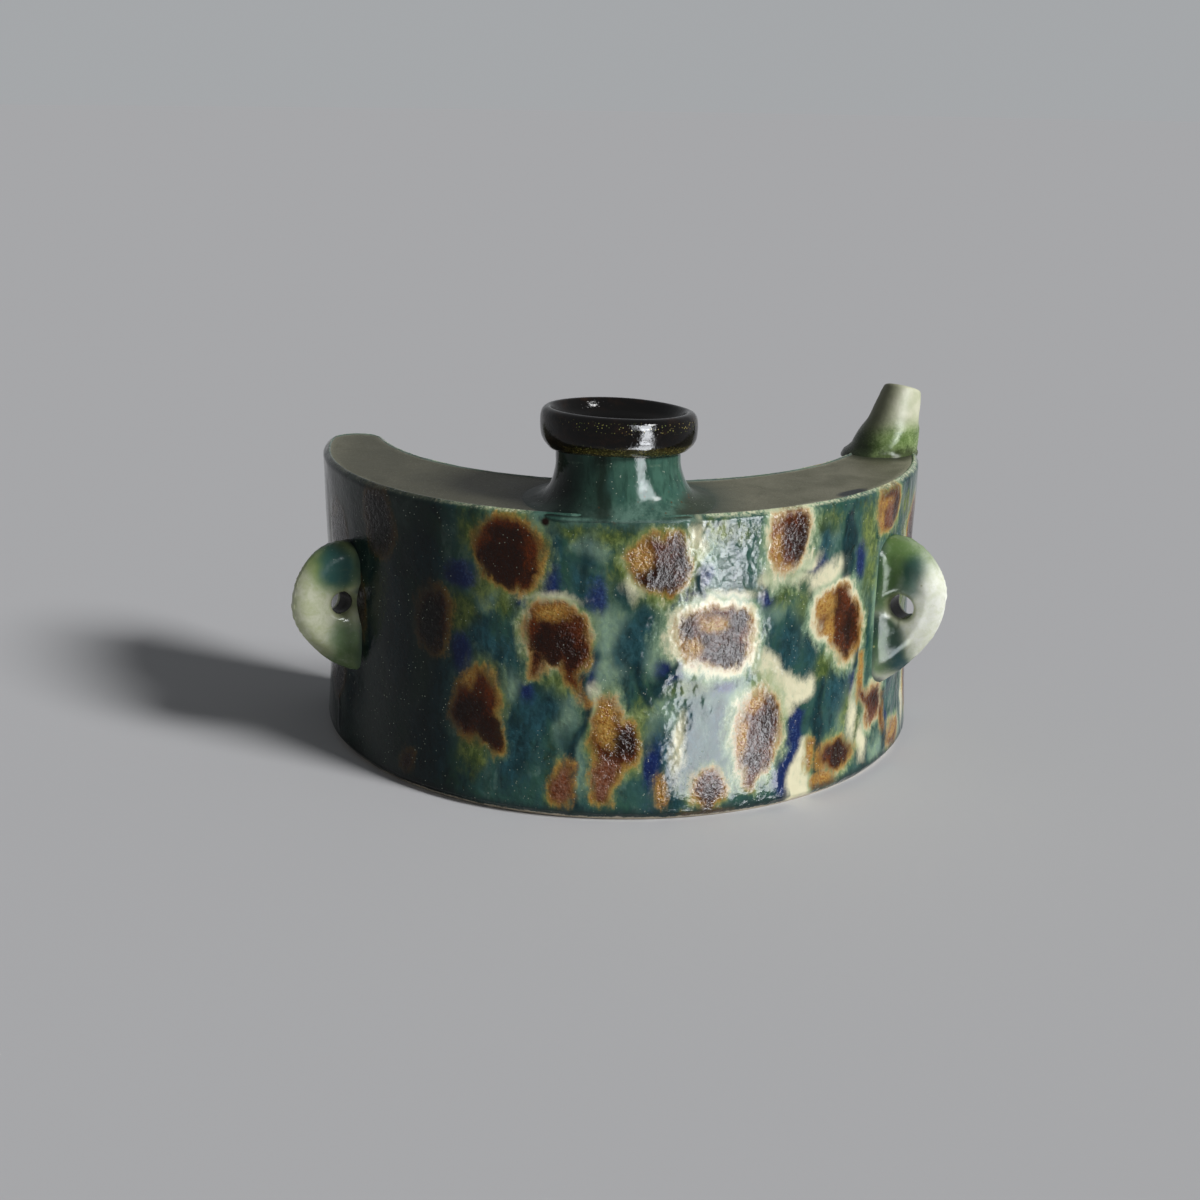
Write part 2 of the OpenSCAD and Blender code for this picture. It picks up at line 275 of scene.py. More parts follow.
DEEP_PARTS = [
    [-8.8, 76.0, 2.6, 10.0], [-11.0, 63.5, 1.8, 6.0], [4.6, 54.0, 5.4, 8.0], [8.4, 62.0, 3.6, 5.0],
    [-29.6, 57.0, 2.4, 9.0], [-25.0, 33.0, 5.0, 7.6], [-19.5, 36.4, 3.6, 4.4], [-41.6, 53.0, 4.0, 6.0],
    [13.4, 22.0, 4.0, 9.0], [17.4, 12.0, 4.6, 9.0], [22.6, 29.0, 3.2, 9.0], [55.4, 50.6, 5.2, 10.0, -16],
    [46.6, 57.0, 3.4, 7.4], [75.6, 36.0, 4.6, 9.0], [62.6, 52.0, 2.0, 10.0], [66.6, 83.0, 3.0, 5.0],
    [106.0, 34.0, 6.0, 12.0], [-55.0, 36.0, 6.0, 12.0], [-61.0, 16.0, 8.0, 14.0], [-75.0, 50.0, 7.0, 20.0],
    [-36.0, 47.0, 4.4, 8.0], [-62.0, 76.0, 7.0, 8.0], [-30.0, 20.0, 5.0, 12.0], [2.6, 70.0, 2.4, 4.0],
    [-20.0, 84.0, 3.4, 6.0], [32.0, 30.0, 2.4, 8.0], [88.6, 54.0, 2.2, 8.0], [-14.0, 22.0, 2.0, 8.0],
]
DRIP_RUNS = [
    [76.8, 87.0, 77.4, 79.0, 2.0, 3.0], [77.4, 79.0, 76.4, 70.6, 3.0, 1.8],
    [68.6, 38.0, 67.6, 24.0, 0.8, 1.6], [67.6, 24.0, 67.8, 7.0, 1.7, 1.3],
    [7.2, 49.5, 8.4, 41.6, 0.9, 0.8], [8.4, 41.6, 9.8, 37.4, 0.8, 0.7],
    [18.4, 48.6, 13.6, 45.0, 1.0, 0.9], [13.6, 45.0, 12.2, 39.6, 0.9, 0.7],
    [-8.6, 46.0, -8.4, 31.0, 0.7, 0.9], [-8.4, 31.0, -12.2, 21.6, 0.9, 1.1],
    [-12.2, 21.6, -10.6, 4.0, 1.1, 0.8], [103.6, 24.0, 105.0, 7.0, 1.4, 2.0],
    [24.4, 75.0, 25.6, 71.0, 0.9, 0.6], [84.6, 47.0, 83.6, 39.0, 0.8, 1.0],
]
GREEN_PARTS = [
    [11.6, 67.6, 6.0, 3.2], [-48.4, 61.0, 5.4, 7.0], [-33.0, 65.6, 6.0, 3.2], [-41.8, 70.0, 4.4, 4.4],
    [-18.4, 42.4, 4.8, 3.6], [1.6, 75.0, 3.0, 7.6], [8.6, 31.0, 2.2, 7.6], [-44.6, 17.0, 4.4, 6.0],
    [59.6, 62.0, 3.2, 9.0], [86.8, 83.0, 3.8, 8.0], [69.4, 42.0, 5.4, 4.4], [89.0, 66.0, 3.6, 10.0],
    [22.0, 42.0, 6.4, 3.0], [86.8, 17.0, 4.0, 6.4], [80.6, 27.0, 2.6, 8.0], [44.6, 9.6, 5.4, 2.6],
    [64.6, 88.0, 7.0, 3.6], [0.0, 89.0, 10.0, 2.6], [32.0, 88.0, 8.0, 3.0], [-14.0, 90.0, 6.0, 2.4],
    [-44.0, 86.0, 4.0, 7.0], [118.0, 60.0, 8.0, 20.0], [51.0, 67.6, 5.0, 3.0], [22.0, 91.0, 6.0, 2.4],
    [89.4, 78.0, 2.8, 9.0], [87.8, 66.0, 2.2, 9.0],
]
PALE_PARTS = [
    [-2.4, 58.6, 4.6, 7.4], [-0.4, 49.0, 5.2, 5.6], [-3.0, 43.6, 3.4, 4.4], [-40.0, 67.4, 3.6, 3.6],
    [11.6, 50.0, 2.2, 4.4], [13.4, 31.0, 5.4, 7.0], [59.6, 60.0, 3.0, 8.0], [88.6, 68.0, 3.0, 12.0],
    [-30.8, 40.0, 3.4, 4.4], [-14.4, 32.6, 2.4, 7.6], [-10.6, 15.4, 1.8, 7.4], [47.0, 63.6, 5.0, 4.0],
    [-8.0, 84.0, 5.0, 4.0], [35.0, 38.0, 5.0, 4.0], [79.6, 26.0, 2.8, 9.0], [95.0, 60.0, 3.0, 14.0],
    [26.0, 84.0, 4.0, 5.0], [60.0, 88.0, 3.0, 3.0], [100.0, 8.0, 5.0, 4.0], [-24.0, 90.0, 4.0, 2.6],
]
CREAM_PARTS = [
    [-18.6, 69.2, 5.6, 1.8], [32.0, 69.6, 7.6, 2.2], [68.6, 71.8, 6.0, 3.0, 24], [61.0, 76.6, 3.0, 2.0, 24],
    [-5.6, 38.4, 1.6, 3.4], [89.6, 13.4, 2.4, 5.0],
    [83.8, 22.0, 1.0, 5.0], [22.6, 86.6, 2.2, 4.8], [5.4, 74.6, 1.8, 4.0], [47.6, 74.0, 3.0, 2.4],
    [62.6, 36.0, 2.2, 2.8], [65.4, 62.0, 1.6, 7.0], [55.6, 72.0, 3.4, 1.4], [19.4, 24.0, 1.2, 5.0],
]
CREAM_RUNS = [
    [45.6, 46.4, 52.6, 38.6, 3.2, 4.2],
    [52.6, 38.6, 61.0, 35.4, 4.2, 2.6],
    [52.6, 38.6, 54.6, 31.0, 3.6, 1.8],
    [62.0, 17.0, 60.2, 9.0, 1.5, 3.4],
    [60.2, 9.0, 60.4, 1.0, 3.4, 5.4],
]
# The glaze's pinhole beside the neck
PINHOLE = [-20.9, 91.8, 0.8, 0.8]
# Reach of the splashes laid out above; the rest of the wall has rows of spots like them
LAID_OUT_LEFT = -92.0
LAID_OUT_RIGHT = 122.0


def more_spots():
    """Spots in three staggered rows round the tips and the back, drawn from one fixed seed."""
    draw = np.random.RandomState(11)
    made = {key: [] for key in ("brown", "core", "amber", "deep", "blue", "cream", "green", "pale", "drip")}
    spacing = 29.0
    span = LOOP - (LAID_OUT_RIGHT - LAID_OUT_LEFT)
    count = int(span / spacing)
    for row, height in enumerate([80.0, 53.0, 25.0]):
        for k in range(count):
            arc = LAID_OUT_RIGHT + (k + 0.3 + 0.4 * (row % 2)) * span / count + draw.uniform(-6, 6)
            z = height + draw.uniform(-7, 7)
            wide, tall = draw.uniform(5.5, 11.5), draw.uniform(6.5, 12.5)
            halo, cream = draw.uniform(1.0, 4.0), draw.uniform(-0.5, 1)
            made["brown"].append([arc, z, wide, tall, draw.uniform(-25, 25), halo, cream])
            made["core"].append([arc + draw.uniform(-3, 3), z - tall * 0.3, wide * 0.5, tall * 0.5])
            made["core"].append([arc + wide * 0.4, z + tall * 0.2, wide * 0.3, tall * 0.6])
            if draw.uniform() < 0.6:
                made["amber"].append([arc - wide * 0.3, z + tall * 0.5, wide * 0.5, tall * 0.35])
            made["deep"].append([arc + spacing / 2, z + draw.uniform(-8, 8), draw.uniform(2.5, 6), 9])
            made["green"].append([arc + draw.uniform(-14, 14), z + draw.uniform(-14, 14), 5, 4])
            made["pale"].append([arc + draw.uniform(-14, 14), z + draw.uniform(-14, 14), 3, 7])
            if draw.uniform() < 0.6:
                made["blue"].append([arc + wide + 2, z - tall * 0.7, draw.uniform(2, 4.5), 5])
            if draw.uniform() < 0.5:
                made["cream"].append([arc - wide - 2, z + draw.uniform(-8, 8), 1.8, 6])
            if draw.uniform() < 0.4:
                low = z - tall - draw.uniform(6, 14)
                made["drip"].append([arc + 3, z - tall, arc + 4, low, 1.2, 0.8])
    return made


def arc_gap(arc, middle):
    return (arc - middle + LOOP / 2) % LOOP - LOOP / 2


def spot_depth(arc, z, spot):
    """Depth inside one splash, negative outside it."""
    middle, height, half_w, half_h = spot[:4]
    lean = math.radians(spot[4]) if len(spot) > 4 else 0
    across, up = arc_gap(arc, middle), z - height
    along_w = across * math.cos(lean) + up * math.sin(lean)
    along_h = up * math.cos(lean) - across * math.sin(lean)
    return (1 - np.hypot(along_w / half_w, along_h / half_h)) * min(half_w, half_h)


def run_depth(arc, z, run):
    """Depth inside a tapered run between two points."""
    arc_0, z_0, arc_1, z_1, half_0, half_1 = run
    across, up = arc_gap(arc, arc_0), z - z_0
    step, rise = arc_1 - arc_0, z_1 - z_0
    share = np.clip((across * step + up * rise) / (step ** 2 + rise ** 2), 0, 1)
    return half_0 + (half_1 - half_0) * share - np.hypot(across - share * step, up - share * rise)


def depth_of(arc, z, spots, runs=()):
    """Depth inside the nearest of many splashes and runs."""
    deepest = np.full(np.shape(arc), -30.0)
    for spot in spots:
        deepest = np.maximum(deepest, spot_depth(arc, z, spot))
    for run in runs:
        deepest = np.maximum(deepest, run_depth(arc, z, run))
    return deepest


def halo_fields(arc, z, spots):
    """Depth inside the halo of the nearest spot, and that halo's share of cream."""
    deepest = np.full(np.shape(arc), -30.0)
    weight, cream = np.zeros(np.shape(arc)), np.zeros(np.shape(arc))
    for spot in spots:
        depth = spot_depth(arc, z, spot) + spot[5]
        deepest = np.maximum(deepest, depth)
        near = np.exp(np.clip(depth, -20, 12))
        weight += near
        cream += near * spot[6]
    return deepest, cream / np.maximum(weight, 1e-9)


def glaze_fields(arc, points):
    """Depths of the glaze's splashes at points of the wall. The materials turn them into colour."""
    z = points[..., 2]
    swirl_a = layered_noise(points, 9.0, 21) * 1.3
    swirl_b = layered_noise(points, 9.0, 41) * 1.5
    fray = np.array([1.0, 1.0, 0.5])
    swirl_a = swirl_a + layered_noise(points * fray, 2.6, 61, 2) * 0.55
    swirl_b = swirl_b + layered_noise(points * fray, 2.6, 81, 2) * 0.85
    # Painted shade: a share that darkens the left of the front wall, where the glaze is also darker; the wall glaze
    # mixes it to near black.
    dark_glaze_and_shade = smooth(-arc, 34.0, 62.0) * smooth(arc, -190.0, -130.0)
    arc, z = arc + swirl_a, z + swirl_b
    more = more_spots()
    spots = BROWN_SPOTS + more["brown"]
    halo, halo_cream = halo_fields(arc, z, spots)
    return {
        "brown": depth_of(arc, z, spots, BROWN_RUNS),
        "halo": np.maximum(halo, depth_of(arc, z, [], BROWN_RUNS) + 1.0),
        "halo_cream": halo_cream,
        "core": depth_of(arc, z, DARK_CORES + more["core"]),
        "amber": depth_of(arc, z, AMBER_PARTS + more["amber"]),
        "pink": depth_of(arc, z, PINK_PARTS),
        "blue": depth_of(arc, z, BLUE_PARTS + more["blue"], BLUE_RUNS),
        "deep": depth_of(arc, z, DEEP_PARTS + more["deep"]),
        "drip": depth_of(arc, z, [], DRIP_RUNS + more["drip"]),
        "green": depth_of(arc, z, GREEN_PARTS + more["green"]),
        "pale": depth_of(arc, z, PALE_PARTS + more["pale"]),
        "cream": depth_of(arc, z, CREAM_PARTS + more["cream"], CREAM_RUNS),
        "dark_glaze_and_shade": dark_glaze_and_shade,
    }


def glaze_relief(fields):
    """Height of the glaze over the clay: thin over the cream, thick in runs, rough over the brown."""
    runs = smooth(fields["drip"], -1.0, 1.2) * 0.2 + smooth(fields["blue"], -1.0, 1.5) * 0.08
    runs = runs + smooth(fields["deep"], -2.0, 2.0) * 0.08
    brown = smooth(fields["brown"], -1.5, 0.8) * 0.10
    cream = smooth(fields["cream"], -1.0, 1.5) * 0.12
    return runs + brown - cream


# Body walls

SKIN_PITCH_ARC = 0.62
SKIN_PITCH_Z = 0.68
SKIN_OVER_SLAB = 0.4


def hand_wave(points):
    """Unevenness of the hand-built slabs, in mm."""
    return 0.42 * noise(points, 42.0, 3) + 0.2 * noise(points, 17.0, 4) + 0.05 * noise(points, 6.0, 5)


def wall_piece(name, node, arc_start, arc_end):
    """A wall with its glaze: the skin laps the edges of the top and base slabs."""
    columns = int((arc_end - arc_start) / SKIN_PITCH_ARC)
    arc = np.linspace(arc_start, arc_end, columns)
    foot = [[-0.1 - FOOT_FLARE * t, 0.25 + (FOOT_BEVEL - 0.25) * t] for t in np.linspace(0, 1, 7)[:-1]]
    wall_z = np.arange(FOOT_BEVEL, BODY_H - EDGE_ROUND, SKIN_PITCH_Z)
    wall = [[float(wall_inset(z)), z] for z in wall_z]
    turn = np.radians(np.arange(0, 91, 10))
    top_inset = float(wall_inset(BODY_H - EDGE_ROUND))
    top = [[top_inset + EDGE_ROUND * (1 - math.cos(a)), BODY_H - EDGE_ROUND * (1 - math.sin(a))] for a in turn]
    skin = np.array(foot + wall + top)
    slope = np.gradient(skin, axis=0)
    slope /= np.hypot(slope[:, 0], slope[:, 1])[:, None]
    out, up = slope[:, 1], slope[:, 0]

    base, normal = outline(arc)
    flat = np.zeros((len(skin), columns, 3))
    flat[..., :2] = base[None] - skin[:, None, :1] * normal[None]
    flat[..., 2] = skin[:, 1:2]
    fields = glaze_fields(np.broadcast_to(arc, flat.shape[:2]), flat)
    profile_run = np.concatenate([[0], np.cumsum(np.hypot(*np.diff(skin, axis=0).T))])
    from_foot = profile_run[:, None] + 0 * arc
    from_top = profile_run[-1] - from_foot
    ragged = 0.7 * noise(flat, 7.0, 91) + 0.35 * noise(flat, 2.2, 92)
    feather = smooth(from_foot + 0.5 * ragged, 0.0, 0.8) * smooth(from_top + ragged, 0.1, 1.3)
    roll = 0.28 * smooth(from_foot, 0.0, 1.2) * smooth(-from_foot, -4.5, -1.5)
    lift = (glaze_relief(fields) + roll) * feather - 0.45 * (1 - feather) + hand_wave(flat)
    lift = np.where(from_top < 2.5, lift * smooth(from_top, -0.5, 2.5) - 0.3 * (1 - feather), lift)
    flat[..., :2] += (lift * out[:, None])[..., None] * normal[None]
    flat[..., 2] += lift * -up[:, None]

    inner = [[3.4, BODY_H - 1.2], [WALL_T, SLAB_LOW], [WALL_T, BODY_H / 2], [WALL_T, BASE_T], [2.0, 1.6]]
    back = np.zeros((len(inner), columns, 3))
    for row, (inset, z) in enumerate(inner):
        back[row, :, :2] = base - inset * normal
        back[row, :, 2] = z
    points = np.concatenate([flat, back])
    rows = len(points)
    faces = grid_faces(rows, columns, close_rows=True)
    faces.append([r * columns for r in range(rows)])
    faces.append([r * columns + columns - 1 for r in reversed(range(rows))])

    hidden = np.zeros((len(inner), columns))
    shown = {key: np.concatenate([value, hidden - 30]) for key, value in fields.items()}
    beside_neck = 1 - smooth(abs(base[:, 0]), 19.0, 27.0) * np.ones(len(skin))[:, None]
    beside_neck = np.where(flat[..., 1] < 0, beside_neck, 0)
    shown["beside_neck"] = np.concatenate([beside_neck, hidden])
    shown["from_foot"] = np.concatenate([from_foot + 0.4 * ragged, hidden])
    shown["from_top"] = np.concatenate([from_top + 0.5 * ragged, hidden + 50])
    pin = spot_depth(np.broadcast_to(arc, flat.shape[:2]), flat[..., 2], PINHOLE)
    shown["pinhole"] = np.concatenate([pin, hidden - 30])
    shown["inside"] = np.concatenate([np.zeros_like(from_foot), hidden + 1])
    return make_piece(name, node, points, faces, MATERIALS["wall_glaze"], shown)


# Slabs

def fill_plan(ring, pitch, holes, seed):
    """Points and triangles that fill a closed plan, with a hole left round each [x, y, r]."""
    low, high = ring.min(0), ring.max(0)
    draw = np.random.RandomState(seed)
    x, y = np.meshgrid(np.arange(low[0], high[0], pitch), np.arange(low[1], high[1], pitch))
    seeds = np.stack([x.ravel(), y.ravel()], -1) + draw.uniform(-0.2, 0.2, (x.size, 2)) * pitch
    nearest = inset_from_edge(seeds[:, 0], seeds[:, 1])
    ring_inset = inset_from_edge(ring[:, 0], ring[:, 1]).max()
    keep = nearest > ring_inset + 0.6 * pitch
    for hole_x, hole_y, hole_r in holes:
        keep &= np.hypot(seeds[:, 0] - hole_x, seeds[:, 1] - hole_y) > hole_r + 0.5 * pitch
    points = [ring]
    edges = [(k, (k + 1) % len(ring)) for k in range(len(ring))]
    count = len(ring)
    sides = 48
    loops = []
    for hole_x, hole_y, hole_r in holes:
        turn = np.arange(sides) * 2 * math.pi / sides
        points.append(np.stack([hole_x + hole_r * np.cos(turn), hole_y + hole_r * np.sin(turn)], -1))
        edges += [(count + k, count + (k + 1) % sides) for k in range(sides)]
        loops.append(list(range(count, count + sides)))
        count += sides
    points.append(seeds[keep])
    points = np.concatenate(points)
    made, _, faces, *_ = delaunay_2d_cdt([Vector(p) for p in points.tolist()], edges, [], 1, 1e-6)
    made = np.array([tuple(p) for p in made])
    triangles = np.array(faces)
    centre = made[triangles].mean(1)
    solid = np.ones(len(triangles), bool)
    for hole_x, hole_y, hole_r in holes:
        solid &= np.hypot(centre[:, 0] - hole_x, centre[:, 1] - hole_y) > hole_r * math.cos(math.pi / sides)
    return made, triangles[solid], loops


def slab_piece(name, node, profile, holes, pitch, material, top_relief, fields_of):
    """A crescent slab: its edge follows the profile, a list of [inset, z] from the underside up."""
    columns = int(LOOP / 1.1)
    arc = np.arange(columns) * LOOP / columns
    base, normal = outline(arc)
    side = np.zeros((len(profile), columns, 3))
    for row, (inset, z) in enumerate(profile):
        side[row, :, :2] = base - inset * normal
        side[row, :, 2] = z
    wave = hand_wave(side)
    side[..., :2] += 0.9 * wave[..., None] * normal[None] * (np.array(profile)[:, 1] > 1)[:, None, None]
    faces = grid_faces(len(profile), columns, close_columns=True)
    points = [side.reshape(-1, 3)]
    count = side.size // 3
    loops_at = []
    for level, z in ((0, profile[0][1]), (len(profile) - 1, profile[-1][1])):
        flat, triangles, loops = fill_plan(side[level, :, :2], pitch, holes, 5)
        extra = flat[columns:]
        points.append(np.column_stack([extra, np.full(len(extra), z)]))
        lookup = np.concatenate([level * columns + np.arange(columns), count + np.arange(len(extra))])
        shift = lookup[triangles]
        faces += (shift[:, ::-1] if level == 0 else shift).tolist()
        loops_at.append([[int(lookup[k]) for k in loop] for loop in loops])
        count += len(extra)
    for low_loop, high_loop in zip(*loops_at):
        sides = len(low_loop)
        faces += [[low_loop[(k + 1) % sides], low_loop[k], high_loop[k], high_loop[(k + 1) % sides]]
                  for k in range(sides)]
    points = np.concatenate(points)
    points[:, 2] += top_relief(points)
    return make_piece(name, node, points, faces, material, fields_of(points))


def top_slab_piece():
    high_inset = -TOP_FLARE + SKIN_OVER_SLAB
    turn = np.radians(np.arange(0, 91, 15))
    profile = [[high_inset, SLAB_LOW], [high_inset, BODY_H - EDGE_ROUND]]
    profile += [[high_inset + EDGE_ROUND * (1 - math.cos(a)), BODY_H - EDGE_ROUND * (1 - math.sin(a))]
                for a in turn[1:]]
    profile.append([high_inset + EDGE_ROUND + 0.9, BODY_H])
    spout_x, spout_y = spout_seat()
    holes = [[0, NECK_Y, THROAT_R + 1.0], [spout_x, spout_y, SPOUT_BORE_R + 1.5]]

    def relief(points):
        flat = 0.16 * noise(points, 21.0, 6) + 0.07 * noise(points, 6.0, 7) + 0.03 * noise(points, 2.4, 8)
        return np.where(points[:, 2] > BODY_H - 1.0, flat - 0.04, 0)

    def fields(points):
        neck = np.hypot(points[:, 0], points[:, 1] - NECK_Y)
        # Distance from a point 3 mm in from the spout's seat, so that the painted shade round the spout reaches
        # further on its inner side.
        spout = np.hypot(points[:, 0] - spout_x + 3.0, points[:, 1] - spout_y)
        inset = inset_from_edge(points[:, 0], points[:, 1])
        arc = np.arctan2(points[:, 0], WALL_CY - points[:, 1]) * FRONT_R
        from_front = FRONT_R - np.hypot(points[:, 0], points[:, 1] - WALL_CY)
        smear = 1 - np.hypot((arc - 83.5) / 8.0, (from_front - 3.2) / 2.8)
        return {"inset": inset, "from_neck": neck, "from_spout": spout, "side": points[:, 0],
                "smear": np.where(points[:, 2] > SLAB_LOW + 1, smear * 3, -9)}

    return slab_piece("top_slab_clay", "top_slab", profile, holes, 1.5, MATERIALS["top_glaze"],
                      relief, fields)


def base_slab_piece():
    bevel = [[0.5 - FOOT_FLARE * t, FOOT_BEVEL * t] for t in np.linspace(0, 1, 5)]
    profile = [[1.4, 0.0], [0.8, 0.06]] + bevel[1:] + [[1.0 - FOOT_FLARE, BASE_T - 0.6], [2.0, BASE_T]]

    def relief(points):
        return np.where(points[:, 2] < 0.04, 0.05 * (1 + noise(points, 9.0, 9)), 0)

    def fields(points):
        return {"inset": inset_from_edge(points[:, 0], points[:, 1])}

    return slab_piece("base_slab_clay", "base_slab", profile, [], 3.0, MATERIALS["foot_clay"],
                      relief, fields)


# Neck and rim

RIM_TILT_X = math.radians(2.0)
RIM_TILT_Y = math.radians(2.4)
# The rim's underside stands this much higher in front and lower on the left
RIM_LIFT = 0.7
RIM_DROP = 1.1
# The neck stands a little to the left, and is a little wider than its driving sizes
NECK_ASIDE = 0.45
NECK_WIDER = 0.35


def tilted(points):
    """The neck was thrown and set a little askew, and the rim's underside rises at the front."""
    share = smooth(points[..., 2], BODY_H + 3, RIM_LOW + 1)
    side, front = points[..., 0], NECK_Y - points[..., 1]
    shift = -side * math.tan(RIM_TILT_X) + front * math.tan(RIM_TILT_Y)
    below = 1 - smooth(points[..., 2], RIM_LOW + 1, RIM_TOP - 2)
    lift = below * (RIM_LIFT * smooth(front, 2.0, RIM_R) - RIM_DROP * smooth(-side, 4.0, RIM_R))
    moved = points.copy()
    moved[..., 0] -= share * NECK_ASIDE
    moved[..., 2] += share * (shift + lift)
    return moved


def ray_to_edge(turn):
    """Distance from the neck's axis to the skin's outside at the top edge, in each direction."""
    dx, dy = np.cos(turn), np.sin(turn)
    gap_front, front = NECK_Y - WALL_CY, FRONT_R + TOP_FLARE
    half = dy * gap_front
    to_front = -half + np.sqrt(half ** 2 - gap_front ** 2 + front ** 2)
    gap_back, back = NECK_Y - HOLLOW_CY, HOLLOW_R - TOP_FLARE
    half = dy * gap_back
    root = half ** 2 - gap_back ** 2 + back ** 2
    to_back = np.where((root > 0) & (dy > 0), -half - np.sqrt(np.maximum(root, 0)), 999.0)
    return np.minimum(to_front, to_back)


def neck_piece():
    columns = 260
    turn = np.arange(columns) * 2 * math.pi / columns
    reach = ray_to_edge(turn)
    rows = []
    inner_z = np.linspace(SLAB_LOW - 0.5, RIM_LOW + 1.5, 18)
    for z in inner_z:
        rows.append(np.stack([np.full(columns, THROAT_R), np.full(columns, z)], -1))
    # The foot runs out on the slab, and lands on its rounded edge where the slab is narrower than the foot
    to_edge = 1 - smooth(reach, 24.5, 30.0)
    blend = 1.2
    free_r, edge_r = NECK_R + NECK_SPREAD + 2.4, reach - 0.3
    land_r = -blend * np.log(np.exp(-free_r / blend) + np.exp(-edge_r / blend))
    land_z = BODY_H + 0.06 - 0.62 * to_edge
    top_z = RIM_LOW - 2.5
    for z in np.linspace(RIM_LOW + 1.5, top_z, 8)[:-1]:
        rows.append(np.stack([np.full(columns, NECK_R), np.full(columns, z)], -1))
    for fall in np.linspace(0, 1, 46):
        sweep = 0.52 * fall ** 2 + 0.20 * fall ** 7 + 0.28 * fall ** 24
        short = 0.72 * fall ** 2.2 + 0.28 * fall ** 6
        spread = sweep * (1 - to_edge) + short * to_edge
        rows.append(np.stack([NECK_R + (land_r - NECK_R) * spread, top_z + (land_z - top_z) * fall], -1))
    for slope, above, flat_out, flat_down in [[62, 0.16, 0.5, 0.15], [74, 0.02, 1.0, 0.35], [88, -0.2, 1.2, 0.7],
                                              [100, -0.7, 0.6, 1.4], [120, -1.8, -2.0, 3.0]]:
        lean = math.radians(slope)
        over_r = reach - EDGE_ROUND + (EDGE_ROUND + above) * math.sin(lean)
        over_z = BODY_H - EDGE_ROUND + (EDGE_ROUND + above) * math.cos(lean)
        flat_r, flat_z = land_r + flat_out, land_z - flat_down
        rows.append(np.stack([flat_r + (over_r - flat_r) * to_edge, flat_z + (over_z - flat_z) * to_edge], -1))
    section = np.array(rows)
    widen = NECK_WIDER * smooth(section[..., 1], BODY_H + 3, BODY_H + 9) * (section[..., 0] > THROAT_R + 1)
    radius = section[..., 0] + widen
    points = np.stack([radius * np.cos(turn), NECK_Y + radius * np.sin(turn), section[..., 1]], -1)
    outside = np.arange(len(points)) >= len(inner_z)
    push = (0.16 * noise(points, 9.0, 12) + 0.05 * noise(points, 3.0, 13)) * outside[:, None]
    push = push * smooth(points[..., 2], BODY_H + 0.5, BODY_H + 3.0)
    points[..., 0] += push * np.cos(turn)
    points[..., 1] += push * np.sin(turn)
    arc = np.arctan2(points[..., 0], -(points[..., 1] - WALL_CY)) * FRONT_R
    fields = {
        "height": points[..., 2] - BODY_H,
        "joint": points[..., 2] - (RIM_LOW - 2.1),
        "side": points[..., 0],
        "streak": depth_of(arc, points[..., 2], [], [[-5.0, 110, -4.6, 95, 2.6, 3.2]])
        + 1.2 * noise(points * np.array([1, 1, 0.35]), 2.6, 14),
        "specks": depth_of(arc, points[..., 2], [[10.0, 96.0, 16.0, 3.4]]) + 1.6 * noise(points, 2.2, 15),
        "inside": np.broadcast_to(~outside[:, None], points.shape[:2]).astype(float),
    }
    points = tilted(points)
    faces = grid_faces(len(points), columns, close_rows=True, close_columns=True)
    return make_piece("neck_glazed", "neck", points, faces, MATERIALS["neck_glaze"], fields)


def rim_piece():
    columns = 260
    turn = np.arange(columns) * 2 * math.pi / columns
    low, top, wide = RIM_LOW, RIM_TOP + 1.2, RIM_R + 0.45
    section = [
        [THROAT_R - 0.1, low + 0.6], [THROAT_R + 0.1, low + 2.4], [THROAT_R + 0.8, low + 4.6],
        [THROAT_R + 1.9, low + 6.8], [wide - 5.2, low + 8.8], [wide - 4.2, low + 10.4],
        [wide - 3.2, top - 0.25], [wide - 2.2, top], [wide - 1.2, top - 0.4],
        [wide - 0.45, top - 1.4], [wide - 0.1, top - 2.8], [wide, top - 4.4], [wide - 0.04, top - 6.0],
        [wide - 0.28, low + 4.4], [wide - 0.9, low + 3.0], [wide - 1.9, low + 1.8], [wide - 3.1, low + 0.8],
        [NECK_R + 0.4, low + 0.1], [NECK_R - 0.6, low - 0.5],
    ]
    section = resampled(np.array(section), 84)
    points = np.zeros((len(section), columns, 3))
    points[..., 0] = section[:, :1] * np.cos(turn)
    points[..., 1] = NECK_Y + section[:, :1] * np.sin(turn)
    points[..., 2] = section[:, 1:]
    push = 0.28 * noise(points, 16.0, 16) + 0.09 * noise(points, 5.0, 17)
    outer = smooth(section[:, :1], wide - 4.0, wide - 1.0)
    points[..., 0] += push * np.cos(turn) * outer
    points[..., 1] += push * np.sin(turn) * outer
    points[..., 2] += 0.22 * noise(points, 19.0, 18)
    ridge = np.minimum(abs(points[..., 2] - (top - 2.6)), abs(points[..., 2] - (low + 2.2)))
    fields = {"ridge": ridge, "lower": low + 4.6 - points[..., 2], "radius": section[:, :1] + 0 * turn,
              "side": points[..., 0], "front": -(points[..., 1] - NECK_Y)}
    points = tilted(points)
    faces = grid_faces(len(points), columns, close_rows=True, close_columns=True)
    return make_piece("rim_glazed", "rim", points, faces, MATERIALS["rim_glaze"], fields)


